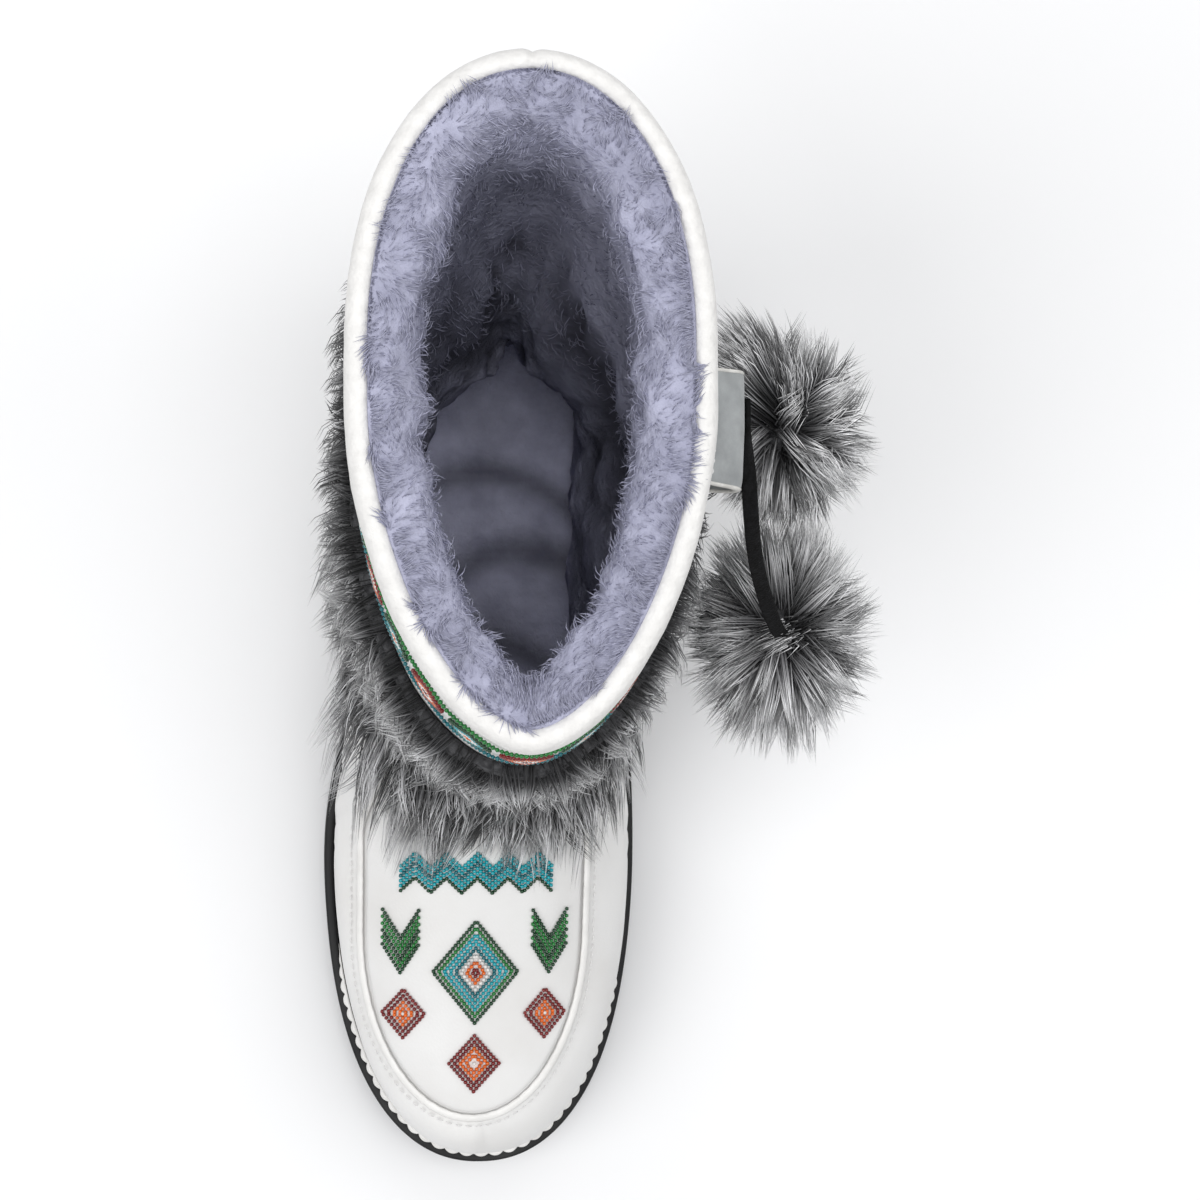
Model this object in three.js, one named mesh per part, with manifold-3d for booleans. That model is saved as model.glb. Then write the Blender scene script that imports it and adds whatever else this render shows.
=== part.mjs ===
// Left mukluk boot: white leather foot and shaft, deep fur cuff, padded collar, rubber cup sole,
// and two fur pompoms on a flat cord. Millimetres, +Z up. The toe points to -Y, the outer side
// of the foot to +X, and the origin is on the floor under the middle of the heel.
import * as THREE from "three";
import { mergeVertices } from "three/addons/utils/BufferGeometryUtils.js";
import Module from "manifold-3d";

const wasm = await Module();
wasm.setup();

// Last and shaft
const footLength = 275; // outsole, heel to toe
const ballWidth = 97; // outsole at the ball
const heelWidth = 70; // outsole at the heel
const heelToOrigin = 45; // back of the heel to the origin
const instepHeight = 84; // floor to the top of the instep
const shaftHeight = 252; // floor to the top edge of the leather
const waistDepth = 4; // how far the arch pulls in on the inner side
const wall = 2.2; // leather of the upper
const clearance = 0.3; // between pieces that touch

// Sole
const rimWidth = 2.9; // cup wall beside the foot
const toeRimWidth = 3.6; // cup wall round the toe
const rimHeight = 6; // cup wall above its ledge
const heelThickness = 22;
const ballThickness = 13;
const toeSpring = 8;
const archRise = 4;
const treadBevel = 2.5;
const sideGroove = 1; // depth of the two grooves round the side
const lugGrooveDepth = 3;
const lugGrooveWidth = 4;
const lugPitch = 15;
const lugAngle = 0.16; // slope of a chevron's arms
const insoleThickness = 4.5;

// Apron and welt
const apronFromToe = 18.5;
const apronWidth = 0.6856 * ballWidth;
const apronCentre = -0.0866 * ballWidth; // the apron lies towards the inner side
const apronRound = 56; // length of its round front
const apronThickness = 1.2;
const apronSeat = 0.45; // between apron and foot, whose wall bends more
const apronBackGap = 1.5; // between the apron's back edge and the cuff
const seamWidth = 2.4;
const seamHeight = 2;
const weltWidth = 2.2;
const weltThickness = 2;
const weltReach = 68; // from the toe back along each side
const scallopPitch = 5;
const scallopDepth = 1.2;

// Cuff and collar
const furPile = 12;
const furTiers = 4;
const bindingWall = 1.7;
const bindingTop = 2.2; // above the leather's edge
const bindingOuterDepth = 11;
const bindingInnerDepth = 8;

// Keeper loop, cord and pompoms
const loopWidth = 27;
const loopHeight = 33;
const loopSeat = 0.4; // between its sewn ends and the shaft
const loopThickness = 2.2;
const loopStandOff = 9; // room between loop and shaft
const loopBelowBinding = 2;
const loopCentreY = -19.4;
const cordWidth = 4;
const cordThickness = 1.6;
const frontPompomRadius = 29;
const rearPompomRadius = 24;
const pompomSquash = new THREE.Vector3(0.8, 1, 0.92);

// Routes of the two cord ends, from the keeper loop into the pompoms, and the pompoms' centres,
// all measured from the middle of the loop's outer face
const frontRoute = [
  [1.2, 7.9, -0.5], [1.3, 3.9, -0.5], [1.4, -0.3, -0.5], [1.5, -4.6, -0.7],
  [1.7, -8.9, -1.3], [2.1, -13.1, -2.5], [2.7, -17.2, -4.8], [3.5, -21.1, -8.1],
  [4.5, -24.7, -12.2], [5.7, -28.1, -16.9], [7.1, -31.4, -21.9], [8.7, -34.6, -27.1],
  [10.5, -37.8, -32.3], [12.4, -41.0, -37.5], [14.4, -44.0, -42.7], [16.5, -46.6, -47.9],
  [18.6, -48.4, -53.3], [20.5, -49.4, -58.9],
];
const rearRoute = [
  [-3.4, -0.2, -0.5], [-3.4, 3.2, -0.5], [-3.4, 6.6, -0.5], [-3.5, 10.0, -0.6],
  [-3.5, 13.4, -0.8], [-3.2, 16.7, -1.4], [-2.2, 19.7, -2.6], [-0.5, 22.0, -4.3],
  [1.8, 23.2, -6.4], [4.4, 23.1, -8.6], [6.9, 21.9, -10.8], [9.2, 20.0, -13.0],
  [11.2, 17.7, -15.4], [12.9, 15.2, -18.0], [14.3, 12.8, -20.9], [15.5, 10.6, -24.1],
];
const frontPompomCentre = [23.5, -49.6, -75.5];
const rearPompomCentre = [19.5, 7.4, -34.5];

const toeY = heelToOrigin - footLength;
const lerp = THREE.MathUtils.lerp;
const clamp = THREE.MathUtils.clamp;
const smooth = (from, to, t) => THREE.MathUtils.smoothstep(t, from, to);
const bump = (middle, reach, t) => smooth(0, 1, 1 - Math.abs(t - middle) / reach);

// Lines of the sole along the foot, by share from heel (0) to toe (1)
const ballShare = 0.64;
const forefootShift = -0.043 * ballWidth;
const shareAt = (y) => (heelToOrigin - y) / footLength;
const treadLine = (share) =>
  toeSpring * clamp((share - 0.76) / 0.24, 0, 1.1) ** 2 + archRise * bump(0.385, 0.105, share);
const ledgeLine = (share) =>
  lerp(heelThickness, ballThickness, smooth(0.18, 0.62, share)) +
  toeSpring * clamp((share - 0.74) / 0.26, 0, 1.1) ** 2;

// One row for each level of the upper, from the feather edge to the top edge. front and back say
// how far behind the toe tip the level begins and ends, as shares of the foot's length. Their
// levels run from 0 at the sole over 1 at the instep to 2 at the top edge. half is the half width
// as a share of the ball's width, heel as a share of half the heel's width. toeEnd and heelEnd
// are where the round ends begin, toeRound and heelRound their exponents. The shifts are shares
// of the ball's width towards the outer side, and waist is the share of the arch's pull.
const columns = [
  "front", "frontLevel", "back", "backLevel", "half", "heel",
  "toeEnd", "heelEnd", "toeRound", "heelRound", "toeShift", "heelShift", "waist",
];
const levels = [
  [0.0155, 0.000, 0.9870, 0.000, 0.468, 0.927, 0.640, 0.155, 2.25, 2.2, -0.043, 0.000, 1.0],
  [0.0142, 0.156, 0.9945, 0.180, 0.472, 0.942, 0.640, 0.155, 2.25, 2.2, -0.043, 0.000, 1.0],
  [0.0205, 0.344, 0.9965, 0.344, 0.465, 0.954, 0.640, 0.155, 2.25, 2.2, -0.045, 0.000, 0.9],
  [0.0390, 0.477, 0.9945, 0.475, 0.441, 0.953, 0.630, 0.160, 2.20, 2.2, -0.050, 0.000, 0.7],
  [0.0740, 0.576, 0.9910, 0.574, 0.405, 0.937, 0.600, 0.170, 2.10, 2.2, -0.058, 0.000, 0.5],
  [0.1455, 0.663, 0.9855, 0.672, 0.380, 0.927, 0.580, 0.190, 2.00, 2.2, -0.063, 0.000, 0.3],
  [0.2255, 0.749, 0.9800, 0.787, 0.369, 0.910, 0.560, 0.210, 1.85, 2.1, -0.063, 0.000, 0.1],
  [0.3090, 0.837, 0.9745, 0.918, 0.367, 0.905, 0.545, 0.240, 1.80, 2.0, -0.060, 0.000, 0.0],
  [0.3780, 0.940, 0.9710, 1.023, 0.371, 0.925, 0.530, 0.270, 1.85, 2.0, -0.055, -0.005, 0.0],
  [0.4240, 1.035, 0.9690, 1.082, 0.374, 0.954, 0.520, 0.300, 1.95, 2.0, -0.045, -0.010, 0.0],
  [0.4500, 1.120, 0.9710, 1.152, 0.379, 0.987, 0.520, 0.330, 2.00, 2.0, -0.038, -0.016, 0.0],
  [0.4620, 1.260, 0.9800, 1.269, 0.389, 1.046, 0.520, 0.370, 2.00, 2.0, -0.030, -0.022, 0.0],
  [0.4650, 1.425, 0.9965, 1.427, 0.403, 1.117, 0.520, 0.400, 2.00, 2.0, -0.030, -0.030, 0.0],
  [0.4670, 1.600, 1.0180, 1.602, 0.417, 1.156, 0.520, 0.410, 1.92, 2.0, -0.041, -0.041, 0.0],
  [0.4760, 1.810, 1.0470, 1.810, 0.426, 1.181, 0.515, 0.415, 1.82, 2.1, -0.054, -0.054, 0.0],
  [0.4890, 2.000, 1.0730, 2.000, 0.430, 1.192, 0.510, 0.420, 1.75, 2.1, -0.068, -0.068, 0.0],
];
const topLevel = levels.length - 1;
const toeBend = [2, 3]; // levels that get a row between them and the next, at the toe
const ankleBend = [8, 9]; // and at the ankle
const cuffBottom = 9;
const cuffTop = 13;

// Levels of the rows of the upper's solid
const rowLevels = [];
for (let level = 0; level <= topLevel; level++) {
  rowLevels.push(level);
  const bends = [toeBend, ankleBend].some(([from, to]) => level >= from && level <= to);
  if (bends) rowLevels.push(level + 0.5);
}

// The row of any level, on a smooth curve through each column
function rowAt(level) {
  const i = clamp(Math.floor(level), 0, topLevel - 1);
  const t = level - i;
  const row = {};
  columns.forEach((name, column) => {
    const at = (k) => levels[clamp(k, 0, topLevel)][column];
    const [p, q, r, s] = [at(i - 1), at(i), at(i + 1), at(i + 2)];
    const bend = 2 * p - 5 * q + 4 * r - s + (3 * q - 3 * r + s - p) * t;
    row[name] = 0.5 * (2 * q + (r - p + bend * t) * t);
  });
  return row;
}

// Places round a level: s runs from the toe (0) along the side (1 to 2) to the heel (3), and side
// is 1 on the outer side of the foot and -1 on the inner.
const toeSteps = 9;
const sideSteps = 7;
const heelSteps = 7;
const stops = [];
for (let i = 0; i < toeSteps; i++) stops.push(i / toeSteps);
for (let i = 0; i < sideSteps; i++) stops.push(1 + i / sideSteps);
for (let i = 0; i <= heelSteps; i++) stops.push(2 + i / heelSteps);
const outerPlaces = stops.map((s) => ({ s, side: 1 }));
const innerPlaces = stops.slice(1, -1).reverse().map((s) => ({ s, side: -1 }));
const ring = [...outerPlaces, ...innerPlaces];

// A level's outline at a place, with the share along the level from heel to toe
function outlineAt(row, { s, side }) {
  const turn = (s < 1 ? 1 - s : Math.max(0, s - 2)) * (Math.PI / 2);
  const power = 2 / (s < 1 ? row.toeRound : row.heelRound);
  const width = Math.max(0, Math.cos(turn)) ** power;
  const reach = Math.sin(turn) ** power;
  let share = lerp(row.toeEnd, row.heelEnd, clamp(s - 1, 0, 1));
  if (s < 1) share = lerp(row.toeEnd, 1, reach);
  if (s > 2) share = row.heelEnd * (1 - reach);
  const along = smooth(row.heelEnd, row.toeEnd, share);
  const half = lerp((row.heel * heelWidth) / 2, row.half * ballWidth, along) * width;
  const waist = side < 0 ? waistDepth * row.waist * bump(0.42, 0.26, share) : 0;
  const shift = lerp(row.heelShift, row.toeShift, along) * ballWidth;
  const y = toeY + footLength * lerp(row.back, row.front, share);
  return { x: shift + side * Math.max(0, half - waist), y, share };
}

// A point of the upper's outer face
function facePoint(level, place) {
  const row = rowAt(level);
  const { x, y, share } = outlineAt(row, place);
  const rise = lerp(row.backLevel, row.frontLevel, share);
  const feather = ledgeLine(shareAt(y)) + clearance;
  const z = rise > 1 ? lerp(instepHeight, shaftHeight, rise - 1) : lerp(feather, instepHeight, rise);
  return new THREE.Vector3(x, y, z);
}

// The direction straight out of the face
function outwardAt(level, place) {
  const step = 0.04;
  const at = (l, s) => facePoint(clamp(l, 0, topLevel), { s: clamp(s, 0, 3), side: place.side });
  const up = at(level + step, place.s).sub(at(level - step, place.s));
  const along = at(level, place.s + step).sub(at(level, place.s - step));
  if (place.s === 0) along.set(place.side, 0, 0);
  if (place.s === 3) along.set(-place.side, 0, 0);
  return along.cross(up).multiplyScalar(place.side).normalize();
}
const offsetPoint = (level, place, distance) =>
  facePoint(level, place).addScaledVector(outwardAt(level, place), distance);

// A point off the facets of the upper's solid, which are straight between its rows
function wallPoint(level, place, distance) {
  const above = Math.max(1, rowLevels.findIndex((row) => row >= level - 1e-9));
  const [low, high] = [rowLevels[above - 1], rowLevels[above]];
  const from = offsetPoint(low, place, distance);
  return from.lerp(offsetPoint(high, place, distance), (level - low) / (high - low));
}

// A point of the level's outline moved out in plan
const cupLevel = 1;
function planPoint(place, distance, heightOf, level = cupLevel) {
  const at = (s) => facePoint(level, { s: clamp(s, 0, 3), side: place.side });
  const step = 0.04;
  const along = at(place.s + step).sub(at(place.s - step));
  if (place.s === 0) along.set(place.side, 0, 0);
  if (place.s === 3) along.set(-place.side, 0, 0);
  const out = new THREE.Vector3(along.y, -along.x, 0).multiplyScalar(place.side).normalize();
  const point = at(place.s).addScaledVector(out, distance);
  point.z = heightOf(shareAt(point.y));
  return point;
}

// The middle line that closes an outline's ring, one point for each place
function middleLine(heightOf) {
  return ring.map((place) => {
    const { y } = facePoint(cupLevel, { s: place.s, side: 1 });
    const share = clamp(shareAt(y), 0.12, 0.86);
    const x = lerp(0, forefootShift, smooth(0.18, ballShare, share));
    return new THREE.Vector3(x, heelToOrigin - share * footLength, heightOf(share));
  });
}

// The place on a level whose outline has the wanted value, which grows with s
function placeWhere(level, side, valueOf, wanted, to = 3) {
  let [low, high] = [0, to];
  for (let i = 0; i < 24; i++) {
    const s = (low + high) / 2;
    if (valueOf(facePoint(level, { s, side })) < wanted) low = s;
    else high = s;
  }
  return { s: (low + high) / 2, side };
}

// Places at even distances round a level, as many as the ring has
function evenRing(level) {
  const fine = 120;
  const half = (side) => {
    const lengths = [0];
    let before = facePoint(level, { s: 0, side });
    for (let i = 1; i <= fine; i++) {
      const point = facePoint(level, { s: (3 * i) / fine, side });
      lengths.push(lengths[i - 1] + point.distanceTo(before));
      before = point;
    }
    const count = ring.length / 2;
    return Array.from({ length: count + 1 }, (_, i) => {
      const wanted = (lengths[fine] * i) / count;
      const k = clamp(lengths.findIndex((length) => length >= wanted), 1, fine);
      const t = (wanted - lengths[k - 1]) / (lengths[k] - lengths[k - 1]);
      return { s: i === count ? 3 : (3 * (k - 1 + t)) / fine, side };
    });
  };
  return [...half(1), ...half(-1).slice(1, -1).reverse()];
}

// The level and place on top of the foot that lie straight above a point of the plan
function vampPlace(x, y) {
  let [low, high] = [2, 12];
  let place;
  for (let i = 0; i < 24; i++) {
    const level = (low + high) / 2;
    const side = x > facePoint(level, { s: 0, side: 1 }).x ? 1 : -1;
    place = placeWhere(level, side, (p) => p.y, y);
    const point = facePoint(level, place);
    if (point.y < y + 1e-3 && side * point.x > side * x) low = level;
    else high = level;
  }
  return { level: low, place };
}

// Solids
function solidOf(geometry) {
  const bare = geometry.index ? geometry.toNonIndexed() : geometry.clone();
  bare.deleteAttribute("normal");
  bare.deleteAttribute("uv");
  const merged = mergeVertices(bare, 1e-3);
  const { array } = merged.index;
  const corner = (i) => new THREE.Vector3().fromBufferAttribute(merged.attributes.position, i);
  const kept = [];
  let volume = 0;
  for (let i = 0; i < array.length; i += 3) {
    const [a, b, c] = [array[i], array[i + 1], array[i + 2]];
    if (a === b || b === c || c === a) continue;
    kept.push([a, b, c]);
    volume += corner(a).dot(corner(b).cross(corner(c)));
  }
  const outward = volume > 0 ? kept : kept.map(([a, b, c]) => [a, c, b]);
  return new wasm.Manifold(new wasm.Mesh({
    numProp: 3,
    vertProperties: new Float32Array(merged.attributes.position.array),
    triVerts: new Uint32Array(outward.flat()),
  }));
}
function geometryOf(solid) {
  const mesh = solid.getMesh();
  const flat = new Float32Array(mesh.numVert * 3);
  for (let i = 0; i < mesh.numVert; i++) {
    const start = i * mesh.numProp;
    flat.set(mesh.vertProperties.subarray(start, start + 3), i * 3);
  }
  return new THREE.BufferGeometry()
    .setAttribute("position", new THREE.BufferAttribute(flat, 3))
    .setIndex(new THREE.BufferAttribute(mesh.triVerts, 1));
}

// Rows of points joined by quads. closed joins the last row to the first, wrap a row's ends.
function quadMesh(rows, { closed = false, wrap = true } = {}) {
  const count = rows[0].length;
  const index = [];
  for (let r = 0; r < rows.length - (closed ? 0 : 1); r++) {
    for (let i = 0; i < count - (wrap ? 0 : 1); i++) {
      const next = (r + 1) % rows.length;
      const a = r * count + i;
      const b = r * count + ((i + 1) % count);
      const c = next * count + i;
      const d = next * count + ((i + 1) % count);
      index.push(a, b, d, a, d, c);
    }
  }
  const flat = rows.flat().flatMap((p) => [p.x, p.y, p.z]);
  return new THREE.BufferGeometry()
    .setAttribute("position", new THREE.Float32BufferAttribute(flat, 3))
    .setIndex(index);
}
const ringSolid = (rows, closed = false) => solidOf(quadMesh(rows, { closed }));

// A slab: each row is a loop of points across the slab, and both ends are closed by strips
function slabSolid(under, over) {
  const rows = under.map((row, i) => [...row, ...[...over[i]].reverse()]);
  const sides = quadMesh(rows).toNonIndexed().attributes.position.array;
  const parts = [...sides];
  for (const [i, flip] of [[0, false], [under.length - 1, true]]) {
    const cap = quadMesh([under[i], over[i]], { wrap: false }).toNonIndexed();
    const points = cap.attributes.position.array;
    for (let k = 0; k < points.length; k += 9) {
      const [a, b, c] = [0, 3, 6].map((o) => [...points.slice(k + o, k + o + 3)]);
      parts.push(...(flip ? [...a, ...b, ...c] : [...a, ...c, ...b]));
    }
  }
  return solidOf(new THREE.BufferGeometry()
    .setAttribute("position", new THREE.Float32BufferAttribute(parts, 3)));
}

// Outsole: a cup with grooves round its side and chevron lugs underneath
const rimTop = (share) => ledgeLine(share) + rimHeight;
const rimAt = (share) => lerp(rimWidth, toeRimWidth, smooth(0.7, 0.92, share));
const sideProfile = [
  { rise: 0, inset: treadBevel }, { rise: 0.12, inset: 0 },
  { rise: 0.33, inset: 0 }, { rise: 0.35, inset: sideGroove },
  { rise: 0.4, inset: sideGroove }, { rise: 0.42, inset: 0 },
  { rise: 0.62, inset: 0 }, { rise: 0.64, inset: sideGroove },
  { rise: 0.69, inset: sideGroove }, { rise: 0.71, inset: 0 },
  { rise: 0.96, inset: 0 }, { rise: 1, inset: 0.6 },
];
function outsoleSolid() {
  const outer = (place) => {
    const { y } = facePoint(cupLevel, place);
    return clearance + rimAt(shareAt(y));
  };
  const rows = [middleLine(treadLine)];
  for (const { rise, inset } of sideProfile) {
    const heightOf = (share) => lerp(treadLine(share), rimTop(share), rise);
    rows.push(ring.map((place) => planPoint(place, outer(place) - inset, heightOf)));
  }
  rows.push(ring.map((place) => planPoint(place, clearance, rimTop)));
  rows.push(ring.map((place) => planPoint(place, clearance, ledgeLine)));
  rows.push(middleLine(ledgeLine));
  let sole = ringSolid(rows);
  const arms = ballWidth;
  const chevron = new THREE.Shape([
    [-arms, arms * lugAngle], [0, 0], [arms, arms * lugAngle],
    [arms, arms * lugAngle + lugGrooveWidth], [0, lugGrooveWidth],
    [-arms, arms * lugAngle + lugGrooveWidth],
  ].map(([x, y]) => new THREE.Vector2(x, y)));
  const below = rimHeight + toeSpring; // the cutters reach this far under the sole
  const treads = [{ from: 0.03, to: 0.24 }, { from: 0.5, to: 0.97 }];
  for (const { from, to } of treads) {
    const count = Math.max(1, Math.floor(((to - from) * footLength) / lugPitch));
    for (let i = 0; i < count; i++) {
      const share = lerp(from, to, (i + 0.5) / count);
      const depth = lugGrooveDepth + below;
      const cut = new THREE.ExtrudeGeometry(chevron, { depth, bevelEnabled: false });
      cut.translate(forefootShift / 2, heelToOrigin - share * footLength, treadLine(share) - below);
      sole = sole.subtract(solidOf(cut));
    }
  }
  return sole;
}

// Insole: lies on the ledge inside the feather edge
function insoleSolid() {
  const low = (share) => ledgeLine(share) + clearance;
  const high = (share) => low(share) + insoleThickness;
  const inset = -wall - 2 * clearance;
  return ringSolid([
    middleLine(low),
    ring.map((place) => planPoint(place, inset, low, 0)),
    ring.map((place) => planPoint(place, inset, high, 0)),
    middleLine(high),
  ]);
}

// Upper: foot and shaft, one hollow wall open at the collar and underneath
function upperSolid() {
  const rows = rowLevels.map((level) => ring.map((place) => facePoint(level, place)));
  for (const level of [...rowLevels].reverse()) {
    rows.push(ring.map((place) => offsetPoint(level, place, -wall)));
  }
  return ringSolid(rows, true);
}

// Apron: half its width at a distance behind its front
const apronFront = toeY + apronFromToe;
const apronBack = facePoint(cuffBottom, { s: 0, side: 1 }).y - apronBackGap;
const apronHalf = (back) => {
  const rest = clamp(1 - back / apronRound, 0, 1);
  return (apronWidth / 2) * Math.sqrt(1 - rest * rest);
};
const vampPoint = (x, y, distance) => {
  const { level, place } = vampPlace(x, y);
  return wallPoint(level, place, distance);
};
function apronSolid() {
  const across = 12;
  const lengths = 10;
  const under = [];
  const over = [];
  const inset = seamWidth / 2 + clearance;
  for (let i = 0; i <= lengths; i++) {
    const back = lerp(inset + 0.4, apronBack - apronFront, (i / lengths) ** 1.7);
    const half = Math.max(1, apronHalf(back - inset) - inset);
    const xs = Array.from({ length: across + 1 }, (_, k) => apronCentre + half * ((2 * k) / across - 1));
    under.push(xs.map((x) => vampPoint(x, apronFront + back, apronSeat)));
    over.push(xs.map((x) => vampPoint(x, apronFront + back, apronSeat + apronThickness)));
  }
  return slabSolid(under, over);
}

// Apron seam: the raised ridge along the apron's edge
function apronSeamSolid() {
  const turns = 22;
  const straights = 8;
  const edge = [];
  const backs = [];
  for (let i = 0; i < straights; i++) {
    backs.push(lerp(apronBack - apronFront, apronRound, i / straights));
  }
  for (const back of backs) edge.push([-apronWidth / 2, back]);
  for (let i = 0; i <= turns; i++) {
    const angle = (i / turns) * Math.PI;
    edge.push([(-Math.cos(angle) * apronWidth) / 2, apronRound * (1 - Math.sin(angle))]);
  }
  for (const back of backs.reverse()) edge.push([apronWidth / 2, back]);
  const under = [];
  const over = [];
  edge.forEach(([x, back], i) => {
    const [before, after] = [edge[Math.max(0, i - 1)], edge[Math.min(edge.length - 1, i + 1)]];
    const along = new THREE.Vector2(after[0] - before[0], after[1] - before[1]).normalize();
    const at = (side, distance) => vampPoint(
      apronCentre + x - along.y * side, apronFront + back + along.x * side, distance);
    under.push([-seamWidth / 2, seamWidth / 2].map((side) => at(side, apronSeat)));
    over.push([-seamWidth / 3, seamWidth / 3].map((side) => at(side, apronSeat + seamHeight)));
  });
  return slabSolid(under, over);
}

// Welt: a strip with a scalloped edge on the rim round the toe
function weltSolid() {
  const curve = [];
  const fine = 90;
  for (const side of [-1, 1]) {
    const end = placeWhere(cupLevel, side, (p) => p.y, toeY + weltReach);
    for (let i = 0; i <= fine; i++) {
      const share = side < 0 ? 1 - i / fine : i / fine;
      if (side < 0 || i > 0) curve.push({ s: end.s * share, side });
    }
  }
  const spots = curve.map((place) => facePoint(cupLevel, place));
  const lengths = [0];
  spots.slice(1).forEach((p, i) => lengths.push(lengths[i] + p.distanceTo(spots[i])));
  const total = lengths[lengths.length - 1];
  const perScallop = 3;
  const count = Math.round(total / scallopPitch) * perScallop;
  const low = (share) => rimTop(share) + clearance;
  const high = (share) => low(share) + weltThickness;
  const under = [];
  const over = [];
  for (let i = 0; i <= count; i++) {
    const wanted = (i / count) * total;
    const k = clamp(lengths.findIndex((l) => l >= wanted - 1e-9), 1, curve.length - 1);
    const t = (wanted - lengths[k - 1]) / (lengths[k] - lengths[k - 1]);
    const from = curve[k - 1];
    const signed = lerp(from.s * from.side, curve[k].s * curve[k].side, t);
    const place = { s: Math.abs(signed), side: signed < 0 ? -1 : 1 };
    const edge = clearance + weltWidth - (i % perScallop === 0 ? scallopDepth : 0);
    under.push([clearance, edge].map((distance) => planPoint(place, distance, low)));
    over.push([clearance, edge].map((distance) => planPoint(place, distance, high)));
  }
  return slabSolid(under, over);
}

// Collar binding: a padded channel over the top edge of the shaft
function bindingSolid() {
  const outside = clearance + bindingWall;
  const inside = -wall - clearance - bindingWall;
  const section = [
    { below: bindingOuterDepth, out: clearance },
    { below: bindingOuterDepth, out: outside * 0.8 },
    { below: bindingOuterDepth * 0.45, out: outside * 1.2 },
    { below: 0, out: outside },
    { below: -bindingTop, out: 0.3 * outside },
    { below: -bindingTop, out: -wall - 0.3 * outside },
    { below: 0, out: inside },
    { below: bindingInnerDepth, out: inside },
    { below: bindingInnerDepth, out: -wall - clearance },
    { below: -clearance, out: -wall - clearance },
    { below: -clearance, out: clearance },
  ];
  const lastStep = facePoint(topLevel, ring[0]).z - facePoint(topLevel - 1, ring[0]).z;
  const rows = section.map(({ below, out }) => ring.map((place) => {
    const point = wallPoint(topLevel - Math.max(0, below) / lastStep, place, out);
    point.z += Math.max(0, -below);
    return point;
  }));
  return ringSolid(rows, true);
}

// Fur cuff: a deep ring of fur in tiers, each ending in a row of locks
const lockRows = [
  { drop: 0.08, pile: 0.6, tip: 0 },
  { drop: 0.55, pile: 0.9, tip: 0 },
  { drop: 0.92, pile: 1, tip: 0.42 },
];
function furCuffSolid() {
  const rows = rowLevels
    .filter((level) => level >= cuffBottom && level <= cuffTop)
    .map((level) => ring.map((place) => wallPoint(level, place, clearance)));
  const tier = (cuffTop - cuffBottom) / furTiers;
  const places = evenRing((cuffTop + cuffBottom) / 2);
  rows.push(places.map((place, i) =>
    offsetPoint(cuffTop + tier * (i % 2 ? 0.26 : 0.1), place, furPile * 0.4)));
  for (let t = 0; t < furTiers; t++) {
    for (const { drop, pile, tip } of lockRows) {
      rows.push(places.map((place, i) => {
        const lock = (i + t) % 2;
        const level = cuffTop - tier * (t + drop + tip * lock);
        const thin = tip > 0 && !lock ? 0.86 : 1;
        return offsetPoint(level, place, furPile * pile * thin);
      }));
    }
  }
  return ringSolid(rows, true);
}

// Keeper loop: a leather loop on the outer side, under the binding, sewn down at both ends
const loopTop = shaftHeight - bindingOuterDepth - loopBelowBinding;
function loopPoint(y, down, distance) {
  const z = loopTop - loopHeight * down;
  const rise = 1 + (z - instepHeight) / (shaftHeight - instepHeight);
  let [low, high] = [cuffTop, topLevel];
  for (let i = 0; i < 24; i++) {
    const level = (low + high) / 2;
    if (rowAt(level).backLevel < rise) low = level;
    else high = level;
  }
  return wallPoint(low, placeWhere(low, 1, (p) => p.y, y), distance);
}
const loopFace = loopPoint(loopCentreY, 0.5, clearance + loopStandOff + loopThickness);
const fromLoop = (point) => new THREE.Vector3(...point).add(loopFace);
function keeperLoopSolid() {
  const profile = [
    { down: 0, off: 0 }, { down: 0.16, off: 0 }, { down: 0.22, off: 0.6 }, { down: 0.32, off: 0.95 },
    { down: 0.5, off: 1 }, { down: 0.68, off: 0.95 }, { down: 0.78, off: 0.6 },
    { down: 0.84, off: 0 }, { down: 1, off: 0 },
  ];
  const across = 6;
  const under = [];
  const over = [];
  for (let i = 0; i <= across; i++) {
    const y = loopCentreY + loopWidth * (i / across - 0.5);
    const at = ({ down, off }, seat) => loopPoint(y, down, seat + loopStandOff * off);
    under.push(profile.map((step) => at(step, loopSeat)));
    over.push(profile.map((step) => at(step, clearance + loopThickness)));
  }
  return slabSolid(under, over);
}

// Cord ends: flat woven cord with round edges
function cordGeometry(route, grow = 0) {
  const path = new THREE.CatmullRomCurve3(route);
  const [w, t] = [cordWidth / 2 + grow, cordThickness / 2 + grow];
  const edge = t * 0.55;
  const section = new THREE.Shape([
    [w, edge], [w - edge, t], [edge - w, t], [-w, edge],
    [-w, -edge], [edge - w, -t], [w - edge, -t], [w, -edge],
  ].map(([x, y]) => new THREE.Vector2(x, y)));
  return new THREE.ExtrudeGeometry(section, {
    steps: route.length - 1, bevelEnabled: false, extrudePath: path, curveSegments: 1,
  });
}

// The space round the shaft that the cuff's fur fills
function cuffSpace(distance) {
  const from = cuffBottom - 1;
  const to = cuffTop + 0.5;
  const rows = [];
  for (let level = from; level <= to; level += 0.5) {
    rows.push(ring.map((place) => offsetPoint(level, place, distance)));
  }
  const middle = (row) => {
    const centre = new THREE.Box3().setFromPoints(row).getCenter(new THREE.Vector3());
    return ring.map(() => centre);
  };
  return ringSolid([middle(rows[0]), ...rows, middle(rows[rows.length - 1])]);
}

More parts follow.
